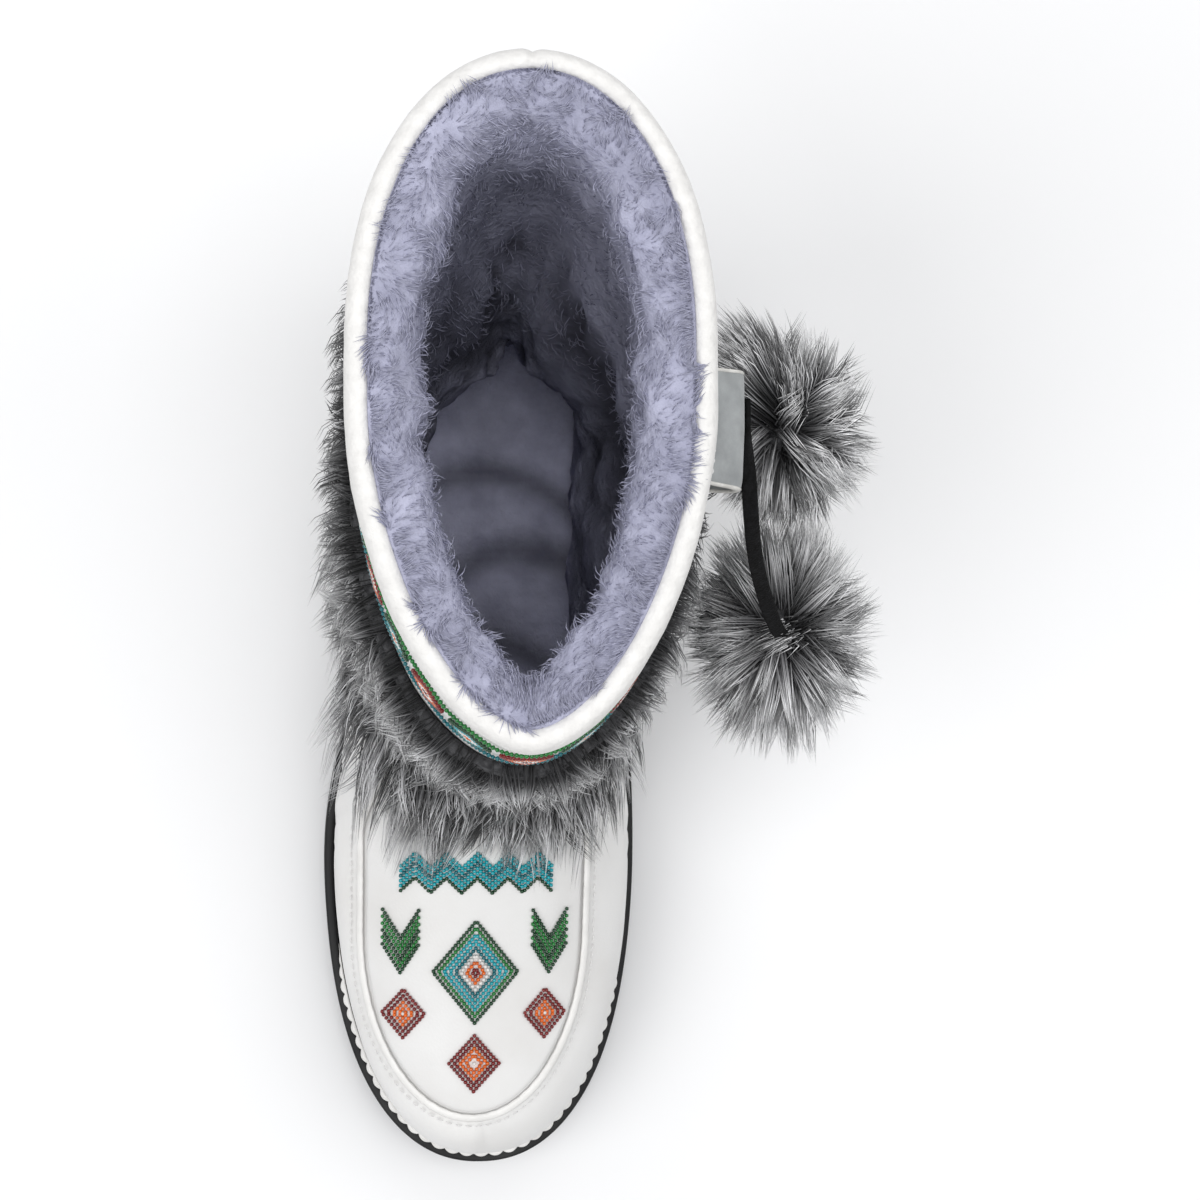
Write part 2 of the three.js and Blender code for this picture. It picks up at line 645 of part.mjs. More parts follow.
// Pompom: a ball of fur with a lock on each facet, pressed flat against the cuff
function pompomSolid(radius, centre, route) {
  const core = new THREE.IcosahedronGeometry(radius * 0.8, 2).attributes.position;
  const corners = [];
  for (let i = 0; i < core.count; i += 3) {
    const [a, b, c] = [0, 1, 2].map((k) => new THREE.Vector3().fromBufferAttribute(core, i + k));
    const length = radius * (0.97 + 0.06 * Math.sin(i * 1.7));
    const tip = a.clone().add(b).add(c).setLength(length);
    tip.z -= radius * 0.05;
    for (const corner of [a, b, tip, b, c, tip, c, a, tip]) {
      corners.push(...corner.clone().multiply(pompomSquash).add(centre).toArray());
    }
  }
  const ball = solidOf(new THREE.BufferGeometry()
    .setAttribute("position", new THREE.Float32BufferAttribute(corners, 3)));
  const socket = solidOf(cordGeometry(route, clearance));
  return ball.subtract(cuffSpace(furPile + 2 * clearance)).subtract(socket);
}

// Cord ends stop short of the socket's bottom
const shorten = (route) => {
  const path = new THREE.CatmullRomCurve3(route);
  const end = path.getPointAt(1 - (2 * clearance) / path.getLength());
  return [...route.slice(0, -1), end];
};

const frontPath = frontRoute.map(fromLoop);
const rearPath = rearRoute.map(fromLoop);
const frontPompom = pompomSolid(frontPompomRadius, fromLoop(frontPompomCentre), frontPath);
const rearPompom = pompomSolid(rearPompomRadius, fromLoop(rearPompomCentre), rearPath);

const paint = (color, roughness) => new THREE.MeshStandardMaterial({ color, roughness, metalness: 0 });
const black = paint(0x17181a, 0.62);
const white = paint(0xe9e7e4, 0.48);
const fur = paint(0x8d8f93, 0.95);
const pieces = [
  ["outsole", outsoleSolid(), black],
  ["insole", insoleSolid(), paint(0xb9b1bd, 0.95)],
  ["upper", upperSolid(), white],
  ["apron", apronSolid(), paint(0xf0eeeb, 0.45)],
  ["apron_seam", apronSeamSolid(), paint(0xdedbd7, 0.55)],
  ["welt", weltSolid(), paint(0xe2dfdb, 0.55)],
  ["collar_binding", bindingSolid(), paint(0xe6e3df, 0.8)],
  ["fur_cuff", furCuffSolid(), fur],
  ["keeper_loop", keeperLoopSolid(), paint(0xb4b3b6, 0.7)],
  ["cord_front", solidOf(cordGeometry(shorten(frontPath))), paint(0x111113, 0.7)],
  ["cord_rear", solidOf(cordGeometry(shorten(rearPath))), paint(0x131315, 0.7)],
  ["pompom_front", frontPompom, paint(0x96989c, 0.95)],
  ["pompom_rear", rearPompom, paint(0x9b9da1, 0.95)],
];

const boot = new THREE.Group();
for (const [name, solid, material] of pieces) {
  const mesh = new THREE.Mesh(geometryOf(solid), material);
  mesh.name = name;
  boot.add(mesh);
}

export default boot;
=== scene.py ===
# Mukluk boot for the left foot: white leather over fleece, a deep fur cuff, beadwork on the apron
# and the shaft, and two fur pompoms on a flat cord. The toe points to -Y and up is +Z.
import math

import bpy
import numpy as np
from mathutils import Matrix, Vector
from mathutils.bvhtree import BVHTree


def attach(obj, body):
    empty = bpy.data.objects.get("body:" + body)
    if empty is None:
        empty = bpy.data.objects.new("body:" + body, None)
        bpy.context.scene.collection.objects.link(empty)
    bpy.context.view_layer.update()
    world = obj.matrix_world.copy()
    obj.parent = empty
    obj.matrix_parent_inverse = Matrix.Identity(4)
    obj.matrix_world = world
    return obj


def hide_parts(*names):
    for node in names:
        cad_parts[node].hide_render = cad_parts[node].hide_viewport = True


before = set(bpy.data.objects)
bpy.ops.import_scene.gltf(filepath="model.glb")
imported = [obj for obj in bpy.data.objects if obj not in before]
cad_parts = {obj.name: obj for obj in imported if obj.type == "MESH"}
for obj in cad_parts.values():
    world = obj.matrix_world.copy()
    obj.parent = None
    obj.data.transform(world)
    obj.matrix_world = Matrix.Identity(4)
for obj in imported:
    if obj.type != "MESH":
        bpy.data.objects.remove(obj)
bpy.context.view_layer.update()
mm = 0.001

# Studio: the boot stands on pale paper under soft light, and the camera hangs overhead, a little to
# the inner side of the boot, as on a shop's copy stand.
eye = Vector((-57.8, -84.2, 875.0)) * mm
aim = Vector((36.3, -53.1, 0.0)) * mm
backwards = (eye - aim).normalized()
rightwards = Vector((0, 1, 0)).cross(backwards).normalized()
upwards = backwards.cross(rightwards)
camera = bpy.data.objects.new("overhead_camera", bpy.data.cameras.new("overhead_camera"))
camera.data.lens = 80.9
camera.data.clip_start = 0.01
camera.location = eye
camera.rotation_euler = Matrix((rightwards, upwards, backwards)).transposed().to_euler()
bpy.context.collection.objects.link(camera)
bpy.context.scene.camera = camera
bpy.context.scene.view_settings.view_transform = "Standard"


def finish_of(name, colour, roughness, **sockets):
    """A material whose Principled shader has these values."""
    material = bpy.data.materials.new(name)
    material.use_nodes = True
    shader = material.node_tree.nodes["Principled BSDF"]
    shader.inputs["Base Color"].default_value = (*colour, 1)
    shader.inputs["Roughness"].default_value = roughness
    for socket, value in sockets.items():
        shader.inputs[socket.replace("_", " ")].default_value = value
    return material


floor = bpy.data.meshes.new("studio_floor")
floor_reach = 14.0
corners = [(-1, -1), (1, -1), (1, 1), (-1, 1)]
floor.from_pydata([(x * floor_reach, y * floor_reach, 0) for x, y in corners], [], [(0, 1, 2, 3)])
floor.materials.append(finish_of("pale_paper", (0.86, 0.86, 0.865), 0.9))
floor_piece = bpy.data.objects.new("studio_floor", floor)
bpy.context.collection.objects.link(floor_piece)

boot_middle = Vector((0, -0.08, 0.08))
softboxes = {  # place in metres, side of the square in metres, watts
    "key_softbox": ((-0.85, -0.45, 1.4), 1.0, 11.0),
    "fill_softbox": ((0.95, -0.25, 1.25), 1.2, 4.5),
    "back_softbox": ((0.1, 1.0, 1.2), 1.0, 5.0),
    "top_softbox": ((0.02, -0.02, 1.7), 0.7, 9.0),
}
for name, (place, size, power) in softboxes.items():
    lamp = bpy.data.lights.new(name, "AREA")
    lamp.size = size
    lamp.energy = power
    softbox = bpy.data.objects.new(name, lamp)
    softbox.location = place
    softbox.rotation_euler = (boot_middle - Vector(place)).to_track_quat("-Z", "Y").to_euler()
    bpy.context.collection.objects.link(softbox)
world = bpy.data.worlds.new("studio_air")
world.use_nodes = True
air = world.node_tree.nodes["Background"]
air.inputs["Color"].default_value = (0.97, 0.98, 1.0, 1)
air.inputs["Strength"].default_value = 0.42
bpy.context.scene.world = world

# Upper: foot and shaft of white full-grain cowhide, 2.2 mm thick, wetted and pulled over a last.
# The vamp swells a little between the sole's rim and the apron's seam, and creases at the flex.
foot_length = 275.0
ball_width = 97.0
heel_width = 70.0
heel_back = 45.0
instep_height = 84.0
shaft_height = 252.0
waist_depth = 4.0
leather = 2.2
seat_gap = 0.3
toe_y = heel_back - foot_length
toe_swing = -0.043 * ball_width
# The last, one row a level from the feather edge up to the top edge: how far back and how high it
# starts and ends, its half widths, where toe and heel round off and how fully, and how far it leans
last_columns = (
    "front", "front_level", "back", "back_level", "half", "heel",
    "toe_end", "heel_end", "toe_round", "heel_round", "toe_shift", "heel_shift", "waist",
)
last_rows = np.array([
    (0.0155, 0.000, 0.9870, 0.000, 0.468, 0.927, 0.640, 0.155, 2.25, 2.2, -0.043, 0.000, 1.0),
    (0.0142, 0.156, 0.9945, 0.180, 0.472, 0.942, 0.640, 0.155, 2.25, 2.2, -0.043, 0.000, 1.0),
    (0.0205, 0.344, 0.9965, 0.344, 0.465, 0.954, 0.640, 0.155, 2.25, 2.2, -0.045, 0.000, 0.9),
    (0.0390, 0.477, 0.9945, 0.475, 0.441, 0.953, 0.630, 0.160, 2.20, 2.2, -0.050, 0.000, 0.7),
    (0.0740, 0.576, 0.9910, 0.574, 0.405, 0.937, 0.600, 0.170, 2.10, 2.2, -0.058, 0.000, 0.5),
    (0.1455, 0.663, 0.9855, 0.672, 0.380, 0.927, 0.580, 0.190, 2.00, 2.2, -0.063, 0.000, 0.3),
    (0.2255, 0.749, 0.9800, 0.787, 0.369, 0.910, 0.560, 0.210, 1.85, 2.1, -0.063, 0.000, 0.1),
    (0.3090, 0.837, 0.9745, 0.918, 0.367, 0.905, 0.545, 0.240, 1.80, 2.0, -0.060, 0.000, 0.0),
    (0.3780, 0.940, 0.9710, 1.023, 0.371, 0.925, 0.530, 0.270, 1.85, 2.0, -0.055, -0.005, 0.0),
    (0.4240, 1.035, 0.9690, 1.082, 0.374, 0.954, 0.520, 0.300, 1.95, 2.0, -0.045, -0.010, 0.0),
    (0.4500, 1.120, 0.9710, 1.152, 0.379, 0.987, 0.520, 0.330, 2.00, 2.0, -0.038, -0.016, 0.0),
    (0.4620, 1.260, 0.9800, 1.269, 0.389, 1.046, 0.520, 0.370, 2.00, 2.0, -0.030, -0.022, 0.0),
    (0.4650, 1.425, 0.9965, 1.427, 0.403, 1.117, 0.520, 0.400, 2.00, 2.0, -0.030, -0.030, 0.0),
    (0.4670, 1.600, 1.0180, 1.602, 0.417, 1.156, 0.520, 0.410, 1.92, 2.0, -0.041, -0.041, 0.0),
    (0.4760, 1.810, 1.0470, 1.810, 0.426, 1.181, 0.515, 0.415, 1.82, 2.1, -0.054, -0.054, 0.0),
    (0.4890, 2.000, 1.0730, 2.000, 0.430, 1.192, 0.510, 0.420, 1.75, 2.1, -0.068, -0.068, 0.0),
])
top_edge = len(last_rows) - 1
cuff_low, cuff_high = 9, 13


def ease(low, high, value):
    """A soft step from 0 at low to 1 at high."""
    t = np.clip((value - low) / (high - low), 0, 1)
    return t * t * (3 - 2 * t)


def hump(middle, reach, value):
    """A soft bump of height 1."""
    return ease(0, 1, 1 - np.abs(value - middle) / reach)


def share_of(y):
    """The place along the foot, 0 at the back of the heel and 1 at the toe."""
    return (heel_back - y) / foot_length


def tread_line(share):
    """The tread's height over the floor: toe spring and arch."""
    return 8 * np.clip((share - 0.76) / 0.24, 0, 1.1) ** 2 + 4 * hump(0.385, 0.105, share)


def ledge_line(share):
    """The height of the ledge in the sole that the upper stands on."""
    return 22 - 9 * ease(0.18, 0.62, share) + 8 * np.clip((share - 0.74) / 0.26, 0, 1.1) ** 2


def through(before, low, high, after, t):
    """A smooth curve from low (t is 0) to high (1) that knows the points before and after."""
    bend = 2 * before - 5 * low + 4 * high - after + (3 * low - 3 * high + after - before) * t
    return 0.5 * (2 * low + (high - before + bend * t) * t)


def last_row(level):
    """The last's values at levels in and between its rows."""
    flat = np.ravel(level)
    i = np.clip(np.floor(flat).astype(int), 0, top_edge - 1)
    t = (flat - i)[:, None]
    curved = through(*(last_rows[np.clip(i + k, 0, top_edge)] for k in (-1, 0, 1, 2)), t)
    return {name: curved[:, k].reshape(np.shape(level)) for k, name in enumerate(last_columns)}


def face(level, s, side):
    """Points of the last: s runs from the toe (0) along the side (1 to 2) to the heel (3)."""
    level, s, side = np.broadcast_arrays(*(np.asarray(v, float) for v in (level, s, side)))
    row = last_row(level)
    at_toe = s < 1
    turn = np.where(at_toe, 1 - s, np.maximum(0, s - 2)) * (math.pi / 2)
    power = 2 / np.where(at_toe, row["toe_round"], row["heel_round"])
    width = np.maximum(0, np.cos(turn)) ** power
    stretch = np.sin(turn) ** power
    share = row["toe_end"] + (row["heel_end"] - row["toe_end"]) * np.clip(s - 1, 0, 1)
    share = np.where(at_toe, row["toe_end"] + (1 - row["toe_end"]) * stretch, share)
    share = np.where(s > 2, row["heel_end"] * (1 - stretch), share)
    along = ease(row["heel_end"], row["toe_end"], share)
    at_heel = row["heel"] * heel_width / 2
    half = (at_heel + (row["half"] * ball_width - at_heel) * along) * width
    waist = np.where(side < 0, waist_depth * row["waist"] * hump(0.42, 0.26, share), 0)
    shift = (row["heel_shift"] + (row["toe_shift"] - row["heel_shift"]) * along) * ball_width
    y = toe_y + foot_length * (row["back"] + (row["front"] - row["back"]) * share)
    x = shift + side * np.maximum(0, half - waist)
    rise = row["back_level"] + (row["front_level"] - row["back_level"]) * share
    feather = ledge_line(share_of(y)) + seat_gap
    low = feather + (instep_height - feather) * rise
    high = instep_height + (shaft_height - instep_height) * (rise - 1)
    return np.stack([x, y, np.where(rise > 1, high, low)], axis=-1)


def unit(vectors):
    return vectors / np.maximum(1e-9, np.linalg.norm(vectors, axis=-1, keepdims=True))


def slopes(level, s, side):
    """The directions upwards over the last and straight out of it."""
    level, s, side = np.broadcast_arrays(*(np.asarray(v, float) for v in (level, s, side)))
    step = 0.03
    above = face(np.clip(level + step, 0, top_edge), s, side)
    up = above - face(np.clip(level - step, 0, top_edge), s, side)
    along = face(level, np.clip(s + step, 0, 3), side) - face(level, np.clip(s - step, 0, 3), side)
    across = np.stack([side, 0 * side, 0 * side], axis=-1)
    along = np.where((s < 1e-6)[..., None], across, along)
    along = np.where((s > 3 - 1e-6)[..., None], -across, along)
    return unit(up), unit(np.cross(along, up) * side[..., None])


def off_last(level, s, side, distance):
    """Points at a distance outside the last (inside is negative)."""
    distance = np.asarray(distance, float)
    return face(level, s, side) + slopes(level, s, side)[1] * distance[..., None]


def run_along(points):
    """The length run from the first point of a line to each of its points."""
    steps = np.linalg.norm(np.diff(points, axis=0), axis=1)
    return np.concatenate([[0], np.cumsum(steps)])


def places_round(level, count):
    """Evenly spaced places round a level, s and side, from the toe over the outer side."""
    fine = np.linspace(0, 3, 601)
    halves = []
    for side in (1, -1):
        lengths = run_along(face(level, fine, side))
        halves.append(np.interp(np.linspace(0, lengths[-1], count // 2 + 1), lengths, fine))
    s = np.concatenate([halves[0], halves[1][1:-1][::-1]])
    return s, np.where(np.arange(count) <= count // 2, 1.0, -1.0)


def grid_quads(rows, columns, closed_rows=False, closed_columns=True):
    """Quads that join a grid of points, row by row."""
    r = np.arange(rows if closed_rows else rows - 1)
    c = np.arange(columns if closed_columns else columns - 1)
    r, c = (a.ravel() for a in np.meshgrid(r, c, indexing="ij"))
    here, there = r * columns, (r + 1) % rows * columns
    next_c = (c + 1) % columns
    return np.stack([here + c, here + next_c, there + next_c, there + c], axis=1)


def make_piece(name, points, faces, material, slot, **values):
    """A smooth mesh piece that rides on the boot, with named numbers on its points."""
    mesh = bpy.data.meshes.new(name)
    metres = np.asarray(points).reshape(-1, 3) * mm
    mesh.from_pydata(metres.tolist(), [], [[int(corner) for corner in quad] for quad in faces])
    for value, numbers in values.items():
        mesh.attributes.new(value, "FLOAT", "POINT").data.foreach_set("value", np.ravel(numbers))
    mesh.shade_smooth()
    mesh.materials.append(material)
    piece = bpy.data.objects.new(name, mesh)
    bpy.context.collection.objects.link(piece)
    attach(piece, "root")
    return piece


def lumps(points, size, seed=0):
    """Soft random heights from -1 to 1, in lumps of about this size."""
    grid = np.asarray(points, float) / size + seed * 17.3
    base = np.floor(grid).astype(np.int64)
    part = grid - base
    part = part * part * (3 - 2 * part)
    total = np.zeros(grid.shape[:-1])
    for corner in range(8):
        shift = np.array([corner & 1, corner >> 1 & 1, corner >> 2 & 1])
        x, y, z = np.moveaxis(base + shift, -1, 0)
        key = (x * 73856093) ^ (y * 19349663) ^ (z * 83492791) ^ (seed * 971)
        value = ((key * 2654435761) % 4294967296) / 2147483648.0 - 1
        total = total + value * np.prod(np.where(shift, part, 1 - part), axis=-1)
    return total


def add_grain(material, kind, scale, height, strength=1.0, **inputs):
    """Relief from a noise or cell texture, on top of what the shader already has."""
    nodes, links = material.node_tree.nodes, material.node_tree.links
    where = nodes.new("ShaderNodeTexCoord")
    texture = nodes.new("ShaderNodeTex" + kind)
    texture.inputs["Scale"].default_value = scale
    for socket, value in inputs.items():
        texture.inputs[socket].default_value = value
    bump = nodes.new("ShaderNodeBump")
    bump.inputs["Distance"].default_value = height * mm
    bump.inputs["Strength"].default_value = strength
    links.new(where.outputs["Object"], texture.inputs["Vector"])
    links.new(texture.outputs["Distance" if kind == "Voronoi" else "Fac"], bump.inputs["Height"])
    before = nodes["Principled BSDF"].inputs["Normal"]
    if before.is_linked:
        links.new(before.links[0].from_socket, bump.inputs["Normal"])
    links.new(bump.outputs["Normal"], before)


def add_shades(material, stops, scale=None, value=None):
    """Colours along a ramp, driven by noise of this scale or by a number on the points."""
    nodes, links = material.node_tree.nodes, material.node_tree.links
    ramp = nodes.new("ShaderNodeValToRGB")
    first, last = ramp.color_ramp.elements[0], ramp.color_ramp.elements[1]
    first.position, first.color = stops[0][0], (*stops[0][1], 1)
    last.position, last.color = stops[-1][0], (*stops[-1][1], 1)
    for position, colour in stops[1:-1]:
        ramp.color_ramp.elements.new(position).color = (*colour, 1)
    if value:
        source = nodes.new("ShaderNodeAttribute")
        source.attribute_name = value
    else:
        where = nodes.new("ShaderNodeTexCoord")
        source = nodes.new("ShaderNodeTexNoise")
        source.inputs["Scale"].default_value = scale
        source.inputs["Detail"].default_value = 4
        links.new(where.outputs["Object"], source.inputs["Vector"])
    links.new(source.outputs["Fac"], ramp.inputs["Fac"])
    links.new(ramp.outputs["Color"], nodes["Principled BSDF"].inputs["Base Color"])


apron_front = toe_y + 18.5
apron_width = 0.6856 * ball_width
apron_middle = -0.0866 * ball_width
apron_round = 56.0
apron_length = 106.0


def apron_half(back):
    """Half the apron's width behind its round front, where it narrows towards the ankle."""
    return apron_width / 2 * (1 - 0.34 * ease(84, 122, back))


def from_apron(x, y):
    """How far a point of the plan lies outside the apron's edge (inside is negative)."""
    across = x - apron_middle
    half = apron_half(y - apron_front)
    ahead = np.maximum(0, apron_round - (y - apron_front))
    ring = np.sqrt((across / half) ** 2 + (ahead / apron_round) ** 2) + 1e-9
    steep = np.sqrt((across / half**2) ** 2 + (ahead / apron_round**2) ** 2) / ring + 1e-9
    return np.where(ahead > 0, (ring - 1) / steep, np.abs(across) - half)


leather_white = (0.75, 0.745, 0.735)
white_leather = finish_of("white_leather", leather_white, 0.42, Specular_IOR_Level=0.42)
add_shades(white_leather, [
    (0.3, (0.71, 0.7, 0.685)), (0.55, leather_white), (0.8, (0.78, 0.775, 0.765))], scale=38)
add_grain(white_leather, "Noise", 55, 0.5, 0.35, Detail=3)
add_grain(white_leather, "Voronoi", 1100, 0.07, 0.5)
add_grain(white_leather, "Noise", 2600, 0.03, 0.5, Detail=2)

# Rows lie close together where the leather shows and far apart under the fur
upper_rows = np.concatenate([
    np.linspace(0, 9.4, 96), np.linspace(9.8, 12.6, 8), np.linspace(12.8, top_edge, 34)])
around = 300
level, s, side = np.broadcast_arrays(upper_rows[:, None], *places_round(3.0, around))
skin = face(level, s, side)
edge = from_apron(skin[..., 0], skin[..., 1])
on_foot = 1 - ease(6.0, 8.5, level)
puff = np.where(side > 0, 0.7, 2.6) * ease(0, 7, edge) * ease(1.3, 3.4, level)
puff = puff * on_foot - 0.35 * hump(0, 3, edge) * on_foot
sunk = -0.5 * (1 - ease(-3, -0.5, edge)) * (1 - ease(9, 10, level))
flex = np.zeros(level.shape)
# Creases of the flex, a soft trough and its ridge each: middle in y and z, lean, reach, depth
for at_y, at_z, lean, reach, depth in (
    (-121, 46, 0.55, 16, 0.7), (-131, 40, 0.75, 13, 0.45), (-108, 42, 0.35, 17, 0.6),
    (-94, 50, 0.1, 18, 0.55), (-46, 62, -0.5, 20, 0.7), (-30, 74, -0.6, 17, 0.5),
):
    dy, dz = skin[..., 1] - at_y, skin[..., 2] - at_z
    across = dy - lean * dz
    long_way = np.exp(-((dz + lean * dy) / reach) ** 2)
    ridge = 0.6 * np.exp(-((across - 4.5) / 3.2) ** 2)
    flex += depth * long_way * (ridge - np.exp(-(across / 2.6) ** 2))
flex *= ease(0.6, 1.8, level) * (1 - ease(8.6, 9.6, level)) * ease(0.55, 0.8, s)
flex *= ease(1, 4, edge)
heights = skin[..., 2]
heel_folds = sum(
    depth * (np.exp(-((heights - z - 4) / 3) ** 2) * 0.5 - np.exp(-((heights - z) / 2.5) ** 2))
    for z, depth in ((56, 0.5), (68, 0.7), (80, 0.45))
) * ease(2.2, 2.7, s)
drape = 0.5 * lumps(skin * (1, 1, 0.3), 26, 1) + 0.18 * lumps(skin, 9, 2)
drape *= ease(1.0, 3.0, level) * (1 - ease(14, 14.6, level))
pucker_count = 84
puckers = 0.16 * np.sin(np.arange(around) * 2 * math.pi / around * pucker_count)
puckers = puckers * hump(2.2, 3, edge) * on_foot
swell = puff + sunk + flex + heel_folds + drape + puckers
outer = skin + slopes(level, s, side)[1] * swell[..., None]
inner = off_last(level, s, side, -leather)
# The fleece hides the inner face, so fewer rows will do there
lining_side_rows = np.linspace(0, len(upper_rows) - 1, 24).astype(int)
upper_points = np.concatenate([outer, inner[lining_side_rows[::-1]]])
upper = make_piece(
    "leather_upper", upper_points, grid_quads(len(upper_points), around, closed_rows=True),
    white_leather, "leather")
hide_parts("upper")

# Outsole: a black rubber cup, moulded in one piece with two grooves round its side, an arch under
# the waist and rows of chevron lugs, and cemented on under the feather edge.
rim_height = 6.0
lug_depth, lug_width, lug_lean, lug_pitch = 3.0, 4.0, 0.16, 15.0
lug_middle = toe_swing / 2
groove_ends = []
for first, last in ((0.03, 0.24), (0.5, 0.97)):
    number = int((last - first) * foot_length / lug_pitch)
    shares = [first + (last - first) * (i + 0.5) / number for i in range(number)]
    groove_ends += [heel_back - share * foot_length for share in shares]
groove_ends = np.array(groove_ends)


def lug_groove(x, y):
    """How far the tread is cut away at a place of the plan."""
    run = y - lug_lean * np.abs(x - lug_middle)
    near = np.abs(run[..., None] - groove_ends - lug_width / 2).min(axis=-1)
    return lug_depth * (1 - ease(lug_width / 2 - 0.25, lug_width / 2 + 0.25, near))


def rim_width(y):
    """How far the cup stands out from the feather line."""
    return seat_gap + 2.9 + 0.7 * ease(0.7, 0.92, share_of(y))


def beside_last(s, side, distance, level=1.0):
    """Places of the plan at a distance outside the feather line."""
    step = 0.04
    spot = face(level, s, side)[..., :2]
    ahead, behind = (face(level, np.clip(s + way, 0, 3), side) for way in (step, -step))
    along = ahead - behind
    out = unit(np.stack([along[..., 1], -along[..., 0]], axis=-1) * np.asarray(side)[..., None])
    straight = np.stack([0 * s, np.where(s < 1.5, -1.0, 1.0)], axis=-1)
    out = np.where(((s < 1e-6) | (s > 3 - 1e-6))[..., None], straight, out)
    return spot + out * np.asarray(distance)[..., None]


rubber = finish_of("moulded_rubber", (0.01, 0.01, 0.011), 0.58, Specular_IOR_Level=0.3)
add_shades(rubber, [(0.35, (0.007, 0.007, 0.008)), (0.75, (0.018, 0.018, 0.018))], scale=60)
add_grain(rubber, "Noise", 1500, 0.08, 0.6, Detail=3)
sole_s, sole_side = places_round(1.0, 480)
side_profile = [  # share of the cup's height, distance in from its widest
    (-0.02, 5.0), (0.0, 2.6), (0.03, 1.2), (0.07, 0.35), (0.12, 0.0), (0.2, 0.0), (0.325, 0.0),
    (0.34, 0.12), (0.35, 0.95), (0.4, 0.95), (0.41, 0.12), (0.425, 0.0), (0.52, 0.0), (0.615, 0.0),
    (0.63, 0.12), (0.64, 0.95), (0.69, 0.95), (0.7, 0.12), (0.715, 0.0), (0.84, 0.0), (0.95, 0.0),
    (0.985, 0.25), (1.0, 0.8),
]
wall_rows = []
spot_y = face(1.0, sole_s, sole_side)[:, 1]
for rise, inset in side_profile:
    plan = beside_last(sole_s, sole_side, rim_width(spot_y) - inset)
    share = share_of(plan[:, 1])
    base = tread_line(share)
    height = base + (ledge_line(share) + rim_height - base) * rise
    height = np.maximum(height, base + lug_groove(plan[:, 0], plan[:, 1]) - 0.02)
    wall_rows.append(np.column_stack([plan, height]))
# Over the rim and down to the ledge in the cup: distance out from the last, drop from the rim
for distance, drop in ((1.2, 0.0), (0.5, 0.25), (seat_gap, 1.0), (seat_gap, 5.8), (-3.0, 5.9)):
    plan = beside_last(sole_s, sole_side, distance)
    wall_rows.append(np.column_stack([plan, ledge_line(share_of(plan[:, 1])) + rim_height - drop]))
wall_points = np.concatenate(wall_rows)
wall_quads = grid_quads(len(wall_rows), len(sole_s))

# The tread in rows bent like its chevrons, close together at the sides of each groove
tread_edge = beside_last(sole_s, sole_side, rim_width(spot_y) - 2.7)
runs = np.concatenate([np.arange(toe_y - 12, heel_back + 2, 1.6)] + [
    groove_ends + step for step in (-0.3, -0.1, 0.1, 0.3, 3.7, 3.9, 4.1, 4.3)])
runs = np.unique(np.round(runs, 2))
widths = np.linspace(-1, 1, 61)
half_edges = {}
for sign in (1, -1):
    own = (sole_side == sign) | (sole_s < 1e-6) | (sole_s > 3 - 1e-6)
    order = np.argsort(tread_edge[own][:, 1])
    half_edges[sign] = (tread_edge[own][order, 1], tread_edge[own][order, 0])
lowest_y, highest_y = tread_edge[:, 1].min(), tread_edge[:, 1].max()
run, wide = np.meshgrid(runs, widths, indexing="ij")
x = lug_middle + wide * 30
for _ in range(12):  # x and y settle together
    y = np.clip(run + lug_lean * np.abs(x - lug_middle), lowest_y, highest_y)
    right = np.interp(y, *half_edges[1])
    left = np.interp(y, *half_edges[-1])
    middle = np.clip(lug_middle, left, right)
    x = np.where(wide > 0, middle + (right - middle) * wide, middle + (middle - left) * wide)
y = np.clip(run + lug_lean * np.abs(x - lug_middle), lowest_y, highest_y)
tread = np.stack([x, y, tread_line(share_of(y)) + lug_groove(x, y)], axis=-1).reshape(-1, 3)
tread_quads = grid_quads(len(runs), len(widths), closed_columns=False)[:, ::-1]
corners = tread[tread_quads]
diagonals = corners[:, 2] - corners[:, 0], corners[:, 3] - corners[:, 1]
tread_quads = tread_quads[np.linalg.norm(np.cross(*diagonals), axis=1) > 0.001]
sole = make_piece(
    "rubber_cup_sole", np.concatenate([wall_points, tread]),
    np.concatenate([wall_quads, tread_quads + len(wall_points)]), rubber, "rubber")
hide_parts("outsole")

# Insole and lining: lilac-grey fleece with a curly pile. The lining is a sock of fleece, glued and
# sewn into the upper and thickest at the collar, and the insole is a footbed that drops in.
fleece = finish_of("lilac_fleece", (0.36, 0.36, 0.47), 0.95, Specular_IOR_Level=0.15)
add_shades(fleece, [
    (0.3, (0.3, 0.304, 0.4)), (0.52, (0.365, 0.37, 0.475)), (0.75, (0.43, 0.435, 0.55)),
], scale=120)
add_grain(fleece, "Noise", 420, 1.2, 0.8, Detail=5)
add_grain(fleece, "Noise", 1500, 0.4, 0.8, Detail=3)


def tint_by_tone(material):
    """Multiplies the colour by the tone that is kept on the points."""
    nodes, links = material.node_tree.nodes, material.node_tree.links
    base = nodes["Principled BSDF"].inputs["Base Color"]
    tone = nodes.new("ShaderNodeAttribute")
    tone.attribute_name = "tone"
    tinted = nodes.new("ShaderNodeMix")
    tinted.data_type, tinted.blend_type = "RGBA", "MULTIPLY"
    tinted.inputs[0].default_value = 1.0
    links.new(base.links[0].from_socket, tinted.inputs[6])
    links.new(tone.outputs["Fac"], tinted.inputs[7])
    links.new(tinted.outputs[2], base)


def painted_depth_shade(z):
    """How light the fleece is at this height: painted shade darkens it below the collar, and it is
    lighter again deep down.
    """
    depth = shaft_height - z
    return 1 - 0.32 * ease(5, 28, depth) + 0.32 * ease(60, 200, depth)


tint_by_tone(fleece)

